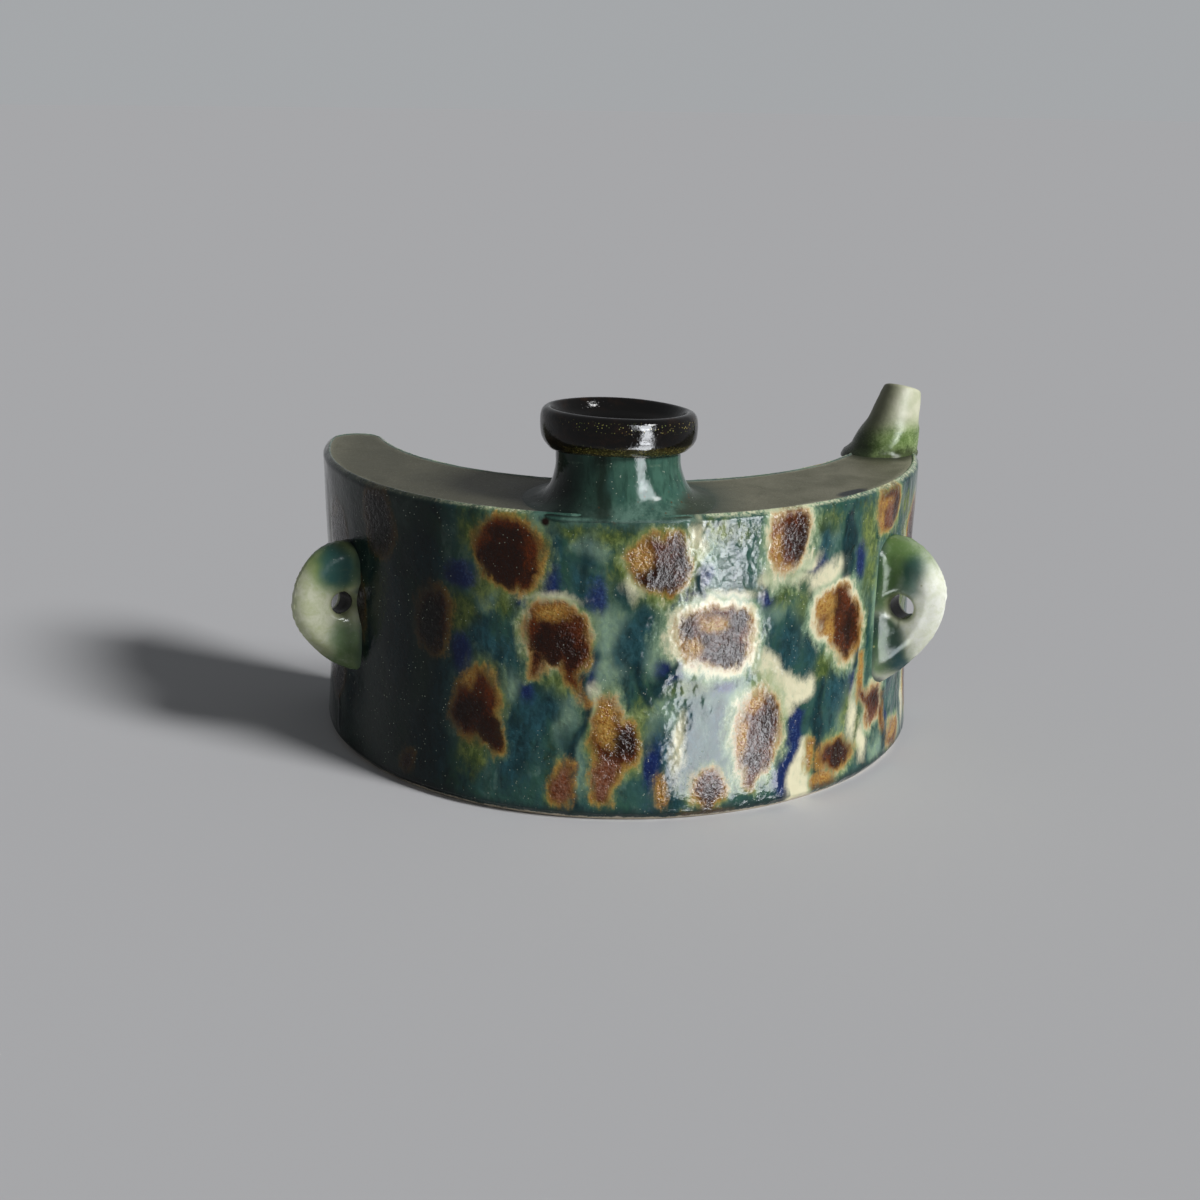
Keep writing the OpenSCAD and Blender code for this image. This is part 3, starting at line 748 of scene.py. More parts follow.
def resampled(line, count):
    """Rounds a coarse line of points off with cubic stretches, and spaces them evenly."""
    padded = np.vstack([2 * line[0] - line[1], line, 2 * line[-1] - line[-2]])
    fine = []
    for k in range(1, len(padded) - 2):
        p0, p1, p2, p3 = padded[k - 1:k + 3]
        for t in np.linspace(0, 1, 9)[:-1]:
            fine.append(0.5 * (2 * p1 + (p2 - p0) * t + (2 * p0 - 5 * p1 + 4 * p2 - p3) * t ** 2
                               + (3 * p1 - 3 * p2 + p3 - p0) * t ** 3))
    fine = np.array(fine + [line[-1]])
    run = np.concatenate([[0], np.cumsum(np.linalg.norm(np.diff(fine, axis=0), axis=1))])
    even = np.linspace(0, run[-1], count)
    return np.stack([np.interp(even, run, fine[:, axis]) for axis in range(fine.shape[1])], -1)


# Spout

def spout_seat():
    return TIP_X - SPOUT_INWARD, WALL_CY - SPOUT_FORWARD


def spout_piece():
    columns = 140
    turn = np.arange(columns) * 2 * math.pi / columns
    # Height along the axis and radius, from the bore's foot up, over the lip and down to the seat
    section = [
        [-5.4, SPOUT_BORE_R], [8.0, SPOUT_BORE_R], [20.4, SPOUT_BORE_R], [21.5, SPOUT_BORE_R + 0.35],
        [22.0, SPOUT_BORE_R + 1.2], [22.0, 5.3], [21.4, 6.05], [20.0, 6.45], [16.6, 7.15], [13.2, 7.8],
        [10.4, 8.5], [8.2, 9.6], [6.0, 10.3], [4.2, 10.6], [2.6, 10.6], [1.4, 10.6], [0.6, 10.8],
        [0.0, 11.2], [-0.6, 11.4], [-1.8, 10.6],
    ]
    section = resampled(np.array(section), 96)
    along, radius = section[:, :1], section[:, 1:]
    outer = smooth(radius, SPOUT_BORE_R + 0.3, SPOUT_BORE_R + 1.5)
    inner_lean = math.sin(SPOUT_LEAN) * np.where(along > 0, along * smooth(along, -3, 6), 0)
    outer_lean = np.interp(along, [0, 4, 10.5, 14, 18, 22], [0.3, 0.9, 2.4, 3.2, 4.2, 5.0])
    lean = inner_lean * (1 - outer) + outer_lean * outer
    # Towards the flask's middle the foot runs out tangentially on the slab, and it is undercut elsewhere
    inward = smooth(-np.cos(turn), 0.1, 1.0)
    flare = np.interp(along, [-1.6, 0.0, 1.2, 2.5, 6.5, 10.5, 13.0], [14.8, 14.0, 12.8, 11.8, 10.8, 9.0, 7.9])
    low = smooth(along, 13.0, 9.0 - 4.0) * outer
    shaped = radius + (flare - radius) * inward * np.clip(low + (along < 5) * outer, 0, 1)
    seat_x, seat_y = spout_seat()
    points = np.zeros((len(section), columns, 3))
    points[..., 0] = seat_x + lean + shaped * np.cos(turn)
    points[..., 1] = seat_y + shaped * np.sin(turn)
    tilt = (-np.cos(turn) * math.sin(SPOUT_LEAN) - np.sin(turn) * SPOUT_TOP_DIP) * radius * smooth(along, 6, 20)
    points[..., 2] = BODY_H + along * math.cos(SPOUT_LEAN * 0.7) + tilt
    # The foot doesn't reach past the tip's wall
    past = np.hypot(points[..., 0] - TIP_X, points[..., 1] - WALL_CY) - (TIP_R + TOP_FLARE + 0.9)
    pull = np.where((points[..., 0] > TIP_X) & (along < 12), np.maximum(past, 0), 0)
    points[..., 0] -= pull * np.cos(turn) * smooth(12 - along, 0, 6)
    solid = (radius > SPOUT_BORE_R + 0.8) & (along > 0.5)
    push = (0.24 * noise(points, 9.0, 23) + 0.07 * noise(points, 3.0, 24)) * solid
    points[..., 0] += push * np.cos(turn)
    points[..., 1] += push * np.sin(turn)
    fields = {"height": along + 0 * turn + 0.9 * noise(points, 5.0, 25) + 0.4 * noise(points, 1.8, 26),
              "side": points[..., 0] - seat_x - lean,
              "inside": (radius < SPOUT_BORE_R + 0.3) + 0 * turn}
    faces = grid_faces(len(points), columns, close_rows=True, close_columns=True)
    return make_piece("spout_glazed", "spout", points, faces, MATERIALS["spout_glaze"], fields)


# Lugs

# Outlines from the root's top round to its bottom, as [distance from the wall, height above the lug's middle]
LUG_OUTLINES = {
    -1: [[-1.6, 19.4], [0.5, 20.2], [5.8, 20.2], [10.5, 18.3], [14.4, 14.5], [17.3, 10.1], [18.8, 5.4],
         [19.4, 0.4], [18.6, -4.4], [16.1, -9.4], [12.8, -13.8], [8.7, -17.9], [3.4, -21.4], [-1.6, -23.4]],
    1: [[-1.6, 24.6], [0.5, 25.2], [4.3, 25.4], [7.0, 24.8], [10.9, 22.9], [14.6, 19.8], [17.3, 16.2],
        [19.0, 12.4], [19.6, 8.6], [19.5, 4.5], [18.5, -0.2], [16.5, -5.2], [13.2, -10.2], [9.2, -15.2],
        [5.8, -18.9], [2.2, -22.2], [-1.6, -24.6]],
}
# Holes, as [distance from the wall, height above the lug's middle, radius]
LUG_HOLES = {-1: [6.8, 1.2, 3.7], 1: [7.0, 3.8, 4.0]}
# How much nearer to the wall each hole comes out at the front of its lug
LUG_SLANT = {-1: 3.0, 1: 0.0}


def ray_to_line(start, turn, line):
    """Distance from a point to a closed line of points, in each direction."""
    step = np.stack([np.cos(turn), np.sin(turn)], -1)[:, None]
    edge = np.roll(line, -1, axis=0) - line
    gap = line - start
    cross = step[..., 0] * edge[:, 1] - step[..., 1] * edge[:, 0]
    cross = np.where(abs(cross) < 1e-9, 1e-9, cross)
    along = (gap[:, 0] * edge[:, 1] - gap[:, 1] * edge[:, 0]) / cross
    share = (gap[:, 0] * step[..., 1] - gap[:, 1] * step[..., 0]) / cross
    return np.where((share >= -1e-6) & (share <= 1 + 1e-6) & (along > 0), along, 999.0).min(1)


def lug_piece(side, name, node):
    """A lug as a ring of sections round its hole, thick at the wall and pinched at its outer edge."""
    columns = 168
    turn = np.arange(columns) * 2 * math.pi / columns
    step_out, step_up = np.cos(turn), np.sin(turn)
    hole_out, hole_up, hole_r = LUG_HOLES[side]
    edge_line = resampled(np.array(LUG_OUTLINES[side]), 160)
    reach = ray_to_line(np.array([hole_out, hole_up]), turn, edge_line)
    # Shares of the way from the hole to the edge, closer together at both ends
    share = (1 - np.cos(np.linspace(0, math.pi, 26))) / 2

    def from_edge(out, up):
        gaps = np.hypot(out[..., None] - edge_line[:, 0], up[..., None] - edge_line[:, 1])
        return gaps.min(-1)

    def half_thickness(out, up):
        root = 2.4 * np.exp(-np.maximum(out + 0.3, 0) / 1.7)
        body = LUG_T / 2 - 0.085 * np.maximum(out, 0) + root
        rounded = np.minimum(from_edge(out, up) / (LUG_ROUND + 1.4), 1)
        edge = np.sqrt(np.clip(1 - (1 - rounded) ** 2, 0, 1))
        from_hole = np.maximum(np.hypot(out - hole_out, up - hole_up) - hole_r, 0)
        mouth_r = np.where(out < hole_out, 2.6, 1.7)
        dip = mouth_r * (1 - np.sqrt(np.clip(1 - (1 - np.minimum(from_hole / mouth_r, 1)) ** 2, 0, 1)))
        return (body - dip) * edge

    rows = []
    radius = hole_r + (reach - hole_r) * share[:, None]
    out = hole_out + radius * step_out
    up = hole_up + radius * step_up
    half = half_thickness(out, up)
    levels = np.linspace(-1, 1, 9)[1:-1]
    for level in levels:
        rows.append(np.stack([out[0], up[0], level * half[0]], -1))
    for k in range(len(share)):
        rows.append(np.stack([out[k], up[k], half[k]], -1))
    for level in (0.5, 0.0, -0.5):
        rows.append(np.stack([out[-1], up[-1], level * half[-1]], -1))
    for k in reversed(range(len(share))):
        rows.append(np.stack([out[k], up[k], -half[k]], -1))
    local = np.array(rows)
    slant = LUG_SLANT[side] * (local[..., 2] * side - LUG_T / 2) / LUG_T
    from_hole = np.hypot(local[..., 0] - hole_out, local[..., 1] - hole_up) - hole_r
    near_hole = 1 - smooth(from_hole, 0.0, 7.0)
    local[..., 0] += slant * near_hole
    # The bore's rows count as inside the hole, which the glaze paints dark as shade.
    from_hole[:len(levels)] = -1.0
    seed_shift = np.array([0.0, 0.0, 40.0 * side])
    pinch = 0.3 * noise(local + seed_shift, 11.0, 31) + 0.12 * noise(local + seed_shift, 4.5, 32)
    grow = smooth(local[..., 0], -0.5, 3.0) * pinch
    centre_out, centre_up = local[..., 0], local[..., 1]
    length = np.maximum(np.hypot(centre_out, centre_up), 1)
    near_edge = 1 - smooth(from_edge(local[..., 0], local[..., 1]), 0.5, 5.0)
    local[..., 0] += grow * near_edge * centre_out / length
    local[..., 1] += grow * near_edge * centre_up / length
    local[..., 2] += np.sign(local[..., 2]) * grow * (1 - near_edge)

    angle = side * LUG_ANGLE
    outward = np.array([math.sin(angle), -math.cos(angle)])
    along = np.array([math.cos(angle), math.sin(angle)])
    points = np.zeros(local.shape)
    points[..., :2] = (FRONT_R + local[..., :1]) * outward + local[..., 2:] * along
    points[..., 1] += WALL_CY
    points[..., 2] = LUG_Z + local[..., 1]
    swirl = 1.2 * noise(points, 6.0, 33) + 0.5 * noise(points, 2.2, 34)
    fields = {"out": local[..., 0] + swirl, "up": local[..., 1] + swirl, "across": local[..., 2] * side,
              "from_hole": from_hole,
              "from_edge": from_edge(local[..., 0], local[..., 1])}
    faces = grid_faces(len(points), columns, close_rows=True, close_columns=True)
    return make_piece(name, node, points, faces, MATERIALS[node], fields)


# Materials

def colour(red, green, blue):
    """Linear colour from sRGB levels of 0 to 255."""
    levels = [c / 255 for c in (red, green, blue)]
    return [c / 12.92 if c <= 0.04045 else ((c + 0.055) / 1.055) ** 2.4 for c in levels] + [1.0]


TEAL = colour(54, 90, 78)
TEAL_DEEP = colour(14, 40, 42)
TEAL_BLUE = colour(42, 76, 92)
TEAL_GREY = colour(104, 134, 122)
EMERALD = colour(38, 76, 50)
MOSS = colour(66, 84, 36)
YELLOW_GREEN = colour(138, 150, 72)
PALE_GREEN = colour(152, 178, 144)
PALE_TEAL = colour(122, 150, 138)
CREAM = colour(232, 226, 192)
HONEY = colour(198, 158, 80)
AMBER = colour(146, 84, 18)
BROWN = colour(106, 46, 8)
BROWN_DARK = colour(50, 19, 4)
CORE = colour(30, 12, 5)
PINK = colour(142, 102, 82)
BLUE = colour(18, 32, 88)
BLUE_PALE = colour(64, 88, 138)
DEEP = colour(7, 27, 31)
POOL = colour(40, 50, 52)
BARE_CLAY = colour(202, 190, 168)


class Shader:
    """A material with short calls for its nodes. Positions are in millimetres."""

    def __init__(self, name):
        self.material = bpy.data.materials.new(name)
        self.material.use_nodes = True
        self.tree = self.material.node_tree
        self.tree.nodes.clear()
        self.surface = self.add("ShaderNodeBsdfPrincipled")
        output = self.add("ShaderNodeOutputMaterial")
        self.tree.links.new(self.surface.outputs[0], output.inputs[0])
        place = self.add("ShaderNodeTexCoord").outputs["Object"]
        scaled = self.add("ShaderNodeVectorMath", {0: place}, operation="SCALE")
        scaled.inputs["Scale"].default_value = 1 / MM
        self.place = scaled.outputs[0]

    def add(self, kind, inputs=None, **settings):
        made = self.tree.nodes.new(kind)
        for key, value in settings.items():
            setattr(made, key, value)
        for key, value in (inputs or {}).items():
            if isinstance(value, bpy.types.NodeSocket):
                self.tree.links.new(value, made.inputs[key])
            else:
                made.inputs[key].default_value = value
        return made

    def field(self, name):
        return self.add("ShaderNodeAttribute", attribute_type="GEOMETRY", attribute_name=name).outputs["Fac"]

    def maths(self, operation, a, b=0.0):
        return self.add("ShaderNodeMath", {0: a, 1: b}, operation=operation).outputs[0]

    def rise(self, value, low, high, bottom=0.0, top=1.0):
        """Goes smoothly from bottom at low to top at high."""
        inputs = {"Value": value, "From Min": low, "From Max": high, "To Min": bottom, "To Max": top}
        return self.add("ShaderNodeMapRange", inputs, interpolation_type="SMOOTHSTEP").outputs[0]

    def noise(self, size, detail=3.0, rough=0.55, stretch=1.0, warp=0.0):
        """Noise from about -1 to 1, with features of this size, drawn out in height by the stretch."""
        squeezed = self.add("ShaderNodeVectorMath", {0: self.place, 1: (1.0, 1.0, 1.0 / stretch)},
                            operation="MULTIPLY").outputs[0]
        inputs = {"Vector": squeezed, "Scale": 1.0 / size, "Detail": detail, "Roughness": rough,
                  "Distortion": warp}
        made = self.add("ShaderNodeTexNoise", inputs).outputs["Fac"]
        return self.maths("MULTIPLY", self.maths("SUBTRACT", made, 0.5), 4.0)

    def cells(self, size, kind="F1"):
        return self.add("ShaderNodeTexVoronoi", {"Vector": self.place, "Scale": 1.0 / size},
                        feature=kind).outputs["Distance"]

    def mix(self, factor, a, b):
        made = self.add("ShaderNodeMix", data_type="RGBA")
        for socket, value in ((made.inputs[0], factor), (made.inputs[6], a), (made.inputs[7], b)):
            if isinstance(value, bpy.types.NodeSocket):
                self.tree.links.new(value, socket)
            else:
                socket.default_value = value
        return made.outputs[2]

    def total(self, *terms):
        """Sum of (value, weight) pairs."""
        result = 0.0
        for value, weight in terms:
            result = self.maths("ADD", self.maths("MULTIPLY", value, weight), result)
        return result

    def finish(self, tint, roughness, height=None, strength=0.5, depth=0.3):
        """Connects colour and roughness, and a bump whose height runs from 0 to 1 over the depth in mm."""
        self.tree.links.new(tint, self.surface.inputs["Base Color"])
        self.tree.links.new(roughness, self.surface.inputs["Roughness"])
        if height is not None:
            bump = self.add("ShaderNodeBump", {"Height": height, "Strength": strength, "Distance": depth * MM})
            self.tree.links.new(bump.outputs[0], self.surface.inputs["Normal"])
        return self.material


def teal_ground(s):
    """The mottled copper glaze under the splashes: clouds and streaks of teal, blue, moss and dark green."""
    wide = s.noise(13.0, 4.0, 0.6, stretch=1.5, warp=0.6)
    streaks = s.noise(4.6, 4.0, 0.62, stretch=2.2, warp=1.0)
    fine = s.noise(1.1, 3.0, 0.65, stretch=1.4)
    hue = s.noise(10.0, 3.0, 0.6, stretch=1.4, warp=0.6)
    tint = s.mix(s.rise(s.total((hue, 1.0), (streaks, 0.4)), -0.9, 0.9), EMERALD, TEAL_BLUE)
    tint = s.mix(s.rise(s.total((wide, 0.8), (fine, 0.3)), -1.2, 0.2, 0.0, 0.7), tint, TEAL)
    tint = s.mix(s.rise(s.total((wide, 1.0), (streaks, 0.7), (fine, 0.3)), 0.1, 1.5), tint, TEAL_GREY)
    dark = s.total((streaks, 1.0), (wide, -0.8), (fine, 0.3))
    tint = s.mix(s.rise(dark, -0.1, 1.3, 0.0, 0.9), tint, TEAL_DEEP)
    other = s.noise(9.0, 3.0, 0.6, stretch=1.5, warp=0.4)
    return s.mix(s.rise(s.total((other, 1.0), (streaks, 0.4), (fine, 0.3)), 0.3, 1.5, 0.0, 0.7), tint, MOSS)


def foot_of_neck(s):
    """Pale teal with brown flecks, where the neck's glaze runs over the top edge."""
    grain = s.noise(0.8, 3.0, 0.65)
    cloud = s.noise(5.0, 4.0, 0.6, stretch=1.4)
    tint = s.mix(s.rise(s.total((cloud, 1.0), (grain, 0.4)), -0.8, 0.9), colour(44, 76, 66), colour(92, 124, 110))
    flecks = s.rise(s.total((s.noise(2.0, 3.0, 0.6), 1.0), (grain, 0.5)), 0.5, 1.4, 0.0, 0.6)
    return s.mix(flecks, tint, colour(92, 62, 30))


def pits_and_glints(s, tint, amount=1.0):
    """Painted glints: pale specks where small bubbles broke at the surface, as the light catches in the pits."""
    bubbles = s.cells(1.5)
    thin = s.rise(s.noise(7.0, 2.0), -0.5, 0.7)
    speck = s.maths("MULTIPLY", s.rise(bubbles, 0.07, 0.15, 1.0, 0.0), thin)
    return s.mix(s.maths("MULTIPLY", speck, 0.75 * amount), tint, colour(196, 208, 186)), speck


def wall_glaze():
    s = Shader("wall_glaze")
    grain = s.noise(0.8, 3.0, 0.65)
    feather = s.noise(2.2, 4.0, 0.7, stretch=1.8, warp=0.5)
    cloud = s.noise(6.0, 3.0, 0.6, stretch=1.6, warp=0.5)
    tint = teal_ground(s)

    def layer(name, below, low, high, above, most=1.0, frayed=0.7, clouded=0.0):
        edge = s.total((s.field(name), 1.0), (feather, frayed), (grain, 0.25), (cloud, clouded))
        return s.mix(s.rise(edge, low, high, 0.0, most), below, above)

    pale = s.mix(s.rise(feather, -0.9, 0.9), PALE_TEAL, PALE_GREEN)
    tint = layer("pale", tint, -2.8, 2.8, pale, 0.8, 0.8, 1.2)
    green = s.mix(s.rise(s.total((feather, 1.0), (cloud, 0.4)), -0.6, 1.2), MOSS, YELLOW_GREEN)
    tint = layer("green", tint, -2.6, 2.6, green, 0.85, 0.9, 1.0)
    deep = s.mix(s.rise(s.total((feather, 1.0), (cloud, 0.6)), -1.0, 1.2), colour(14, 44, 50), colour(46, 90, 100))
    tint = layer("deep", tint, -2.8, 2.2, deep, 0.9, 0.9, 0.8)
    tint = layer("blue", tint, -1.8, 1.6, s.mix(s.rise(s.total((grain, 1.0), (feather, 0.6)), -0.2, 1.5), BLUE, BLUE_PALE),
                 0.92, 0.9)
    tint = layer("cream", tint, -2.4, 1.0, s.mix(s.rise(feather, -1.8, 0.0), PALE_GREEN, CREAM), 0.97, 0.8)

    trail = s.noise(1.5, 3.0, 0.6, stretch=5.0)
    halo = s.total((s.field("halo"), 1.0), (feather, 1.1), (grain, 0.4), (cloud, 1.5), (trail, 0.6))
    creamy = s.field("halo_cream")
    # Halos fade out under the painted shade on the left.
    shown = s.rise(s.total((creamy, 1.0), (cloud, 0.25), (s.field("dark_glaze_and_shade"), -0.9)), -0.3, 0.7, 0.1, 1.0)
    outer = s.mix(s.rise(s.total((feather, 0.5), (creamy, 1.4)), 0.0, 1.4), YELLOW_GREEN, PALE_GREEN)
    tint = s.mix(s.maths("MULTIPLY", s.rise(halo, -2.2, 2.0, 0.0, 0.9), shown), tint, outer)
    olive = s.mix(s.rise(s.total((feather, 1.0), (grain, 0.5)), -0.9, 0.9), MOSS, YELLOW_GREEN)
    inner = s.mix(s.rise(s.total((creamy, 1.0), (feather, 0.3)), 0.15, 0.85), olive, CREAM)
    tint = s.mix(s.maths("MULTIPLY", s.rise(halo, 0.2, 2.8, 0.0, 0.98), shown), tint, inner)
    tint = layer("drip", tint, -1.3, 0.7, s.mix(s.rise(feather, -0.8, 1.0), DEEP, colour(22, 62, 70)), 0.9, 0.6)

    brown = s.total((s.field("brown"), 1.0), (feather, 0.75), (grain, 0.45), (trail, 0.4))
    edge_share = s.rise(s.total((cloud, 1.0), (feather, 0.7)), -1.0, 1.0, 0.25, 1.0)
    edge_tint = s.mix(s.rise(s.total((grain, 0.8), (cloud, 0.6)), -0.9, 0.8), AMBER, HONEY)
    tint = s.mix(s.maths("MULTIPLY", s.rise(brown, -1.9, 0.3), edge_share), tint, edge_tint)
    body = s.mix(s.rise(s.total((feather, 0.9), (grain, 1.0)), -0.6, 2.0), BROWN, AMBER)
    mottle = s.total((grain, 0.9), (feather, 0.7), (cloud, 0.6), (s.field("brown"), 0.2))
    body = s.mix(s.rise(mottle, -0.8, 1.4, 0.0, 0.85), body, BROWN_DARK)
    tint = s.mix(s.rise(s.total((brown, 1.0), (cloud, 0.8)), -1.0, 2.4), tint, body)
    inside = s.rise(brown, -0.6, 0.6)
    honey = s.total((s.field("amber"), 1.0), (feather, 1.3), (cloud, 0.6), (grain, 0.5))
    honey = s.maths("MULTIPLY", inside, s.rise(honey, -1.2, 2.0, 0.0, 0.85))
    tint = s.mix(honey, tint, s.mix(s.rise(s.total((grain, 1.0), (feather, 0.5)), -0.6, 1.0), HONEY, AMBER))
    rose = s.maths("MULTIPLY", inside, s.rise(s.total((s.field("pink"), 1.0), (feather, 0.8)), -1.2, 1.6, 0.0, 0.7))
    tint = s.mix(rose, tint, s.mix(s.rise(grain, -0.5, 0.8), PINK, BROWN))
    dark = s.total((s.field("core"), 1.0), (feather, 1.4), (cloud, 1.0), (grain, 0.8))
    dark = s.maths("MULTIPLY", inside, s.rise(dark, -1.8, 2.4, 0.0, 0.88))
    tint = s.mix(dark, tint, s.mix(s.rise(grain, -0.2, 1.4), CORE, BROWN_DARK))

    from_top = s.total((s.field("from_top"), 1.0), (feather, 0.5), (s.field("beside_neck"), 4.0))
    broken = s.rise(s.total((cloud, 1.0), (grain, 1.0)), -0.9, 0.7, 0.15, 0.9)
    line = s.maths("MULTIPLY", s.rise(from_top, 0.6, 1.9, 1.0, 0.0), broken)
    tint = s.mix(line, tint, s.mix(s.rise(grain, -0.8, 1.2), PALE_GREEN, CREAM))
    under_neck = s.total((s.field("from_top"), 1.0), (feather, 1.0), (cloud, 0.8))
    under_neck = s.maths("MULTIPLY", s.rise(under_neck, 1.6, 5.0, 1.0, 0.0), s.field("beside_neck"))
    tint = s.mix(under_neck, tint, foot_of_neck(s))
    from_foot = s.total((s.field("from_foot"), 1.0), (feather, 0.5))
    pooled = s.mix(s.rise(feather, -1.0, 1.4), POOL, TEAL_DEEP)
    pool_share = s.maths("MULTIPLY", s.rise(from_foot, 3.0, 5.6, 0.75, 0.0), s.rise(s.field("cream"), -2.0, 1.0, 1.0, 0.0))
    tint = s.mix(pool_share, tint, pooled)
    # Painted shade over the left of the front, on top of glaze that is darker there.
    tint = s.mix(s.maths("MULTIPLY", s.field("dark_glaze_and_shade"), 0.87), tint, colour(5, 9, 7))
    tint = s.mix(s.rise(from_foot, 0.4, 1.0, 1.0, 0.0), tint, BARE_CLAY)
    tint = s.mix(s.rise(s.field("pinhole"), -0.9, 0.1), tint, CORE)
    tint, speck = pits_and_glints(s, tint)
    tint = s.mix(s.field("inside"), tint, BARE_CLAY)

    ripple = s.noise(6.2, 2.0, 0.5, stretch=1.2)
    ripple = s.maths("MULTIPLY", ripple, s.rise(s.field("dark_glaze_and_shade"), 0.0, 0.8, 1.3, 0.15))
    worn = s.rise(s.total((s.noise(9.0, 3.0, 0.6), 1.0), (feather, 0.5)), -0.1, 0.9, 0.0, 0.8)
    on_brown = s.rise(brown, -0.4, 0.8)
    rugged = s.maths("MULTIPLY", s.maths("MAXIMUM", on_brown, worn), s.rise(s.field("dark_glaze_and_shade"), 0.0, 0.8, 1.0, 0.2))
    blister = s.maths("MULTIPLY", on_brown, s.rise(s.noise(1.5, 3.0, 0.7), -0.2, 0.8))
    roughness = s.maths("ADD", s.total((blister, 0.07), (s.rise(grain, -1, 1), 0.04)), 0.025)
    small = s.maths("MULTIPLY", s.noise(1.4, 3.0, 0.55, stretch=0.8), s.total((rugged, 0.42), (1.0, 0.1)))
    height = s.total((ripple, 1.0), (small, 1.0), (grain, 0.05), (blister, -0.8), (speck, -0.7))
    s.surface.inputs["Specular IOR Level"].default_value = 0.17
    return s.finish(tint, roughness, height, 0.6, 0.35)


def top_glaze():
    s = Shader("top_glaze")
    grain = s.noise(0.55, 3.0, 0.7)
    cloud = s.noise(13.0, 4.0, 0.6, warp=0.5)
    ash, olive, pale = colour(124, 122, 104), colour(98, 97, 78), colour(178, 175, 152)
    tint = s.mix(s.rise(s.total((cloud, 1.0), (grain, 0.5)), -0.8, 0.9), olive, ash)
    inset = s.total((s.field("inset"), 1.0), (cloud, 1.4), (grain, 0.5))
    tint = s.mix(s.rise(inset, 0.5, 3.6, 0.6, 0.0), tint, pale)
    tips = s.total((s.maths("ABSOLUTE", s.field("side")), 1.0), (cloud, 6.0))
    tint = s.mix(s.rise(tips, 84.0, 102.0, 0.0, 0.35), tint, pale)
    left = s.total((s.field("side"), 1.0), (cloud, 8.0))
    shade = s.maths("MULTIPLY", s.rise(left, -100.0, -76.0, 0.7, 1.0), s.rise(left, -30.0, 8.0, 0.55, 0.0))
    tint = s.mix(shade, tint, colour(44, 44, 36))
    tint = s.mix(s.rise(grain, -0.1, 1.1, 0.0, 0.7), tint, colour(66, 63, 47))
    tint = s.mix(s.rise(s.cells(1.1), 0.08, 0.2, 0.5, 0.0), tint, colour(168, 166, 146))
    # Painted reflection and shade: the slab darkens round the neck, as the dark neck mirrored in it, and more on the
    # left.
    near_neck = s.total((s.field("from_neck"), 1.0), (cloud, 2.0), (grain, 0.5))
    shade_by_neck = s.mix(s.rise(s.field("side"), -20.0, 12.0), colour(30, 33, 27), colour(56, 68, 58))
    tint = s.mix(s.rise(near_neck, 23.0, 42.0, 0.92, 0.0), tint, shade_by_neck)
    # Where the neck's foot runs out on the slab: teal like the neck's glaze, darkened on the left as painted shade.
    near_neck = s.total((s.field("from_neck"), 1.0), (cloud, 1.0), (grain, 0.3))
    shade_by_neck = s.mix(s.rise(s.field("side"), -14.0, 10.0), colour(22, 28, 24), colour(44, 66, 58))
    tint = s.mix(s.rise(near_neck, 26.0, 31.0, 0.92, 0.0), tint, shade_by_neck)
    # Painted shade round the spout's foot on the slab.
    spout_shade_mask = s.total((s.field("from_spout"), 1.0), (cloud, 1.2), (grain, 0.3))
    tint = s.mix(s.rise(spout_shade_mask, 12.0, 19.0, 0.9, 0.0), tint, colour(50, 54, 38))
    smear = s.total((s.field("smear"), 1.0), (cloud, 0.6), (grain, 0.4))
    tint = s.mix(s.rise(smear, -0.5, 1.0, 0.0, 0.85), tint, colour(24, 30, 44))
    roughness = s.total((s.rise(grain, -1, 1), 0.12), (s.rise(cloud, -1, 1), 0.08))
    roughness = s.maths("ADD", roughness, 0.42)
    height = s.total((grain, 0.4), (s.noise(2.2, 3.0, 0.6), 0.4))
    s.surface.inputs["Specular IOR Level"].default_value = 0.2
    return s.finish(tint, roughness, height, 0.45, 0.22)


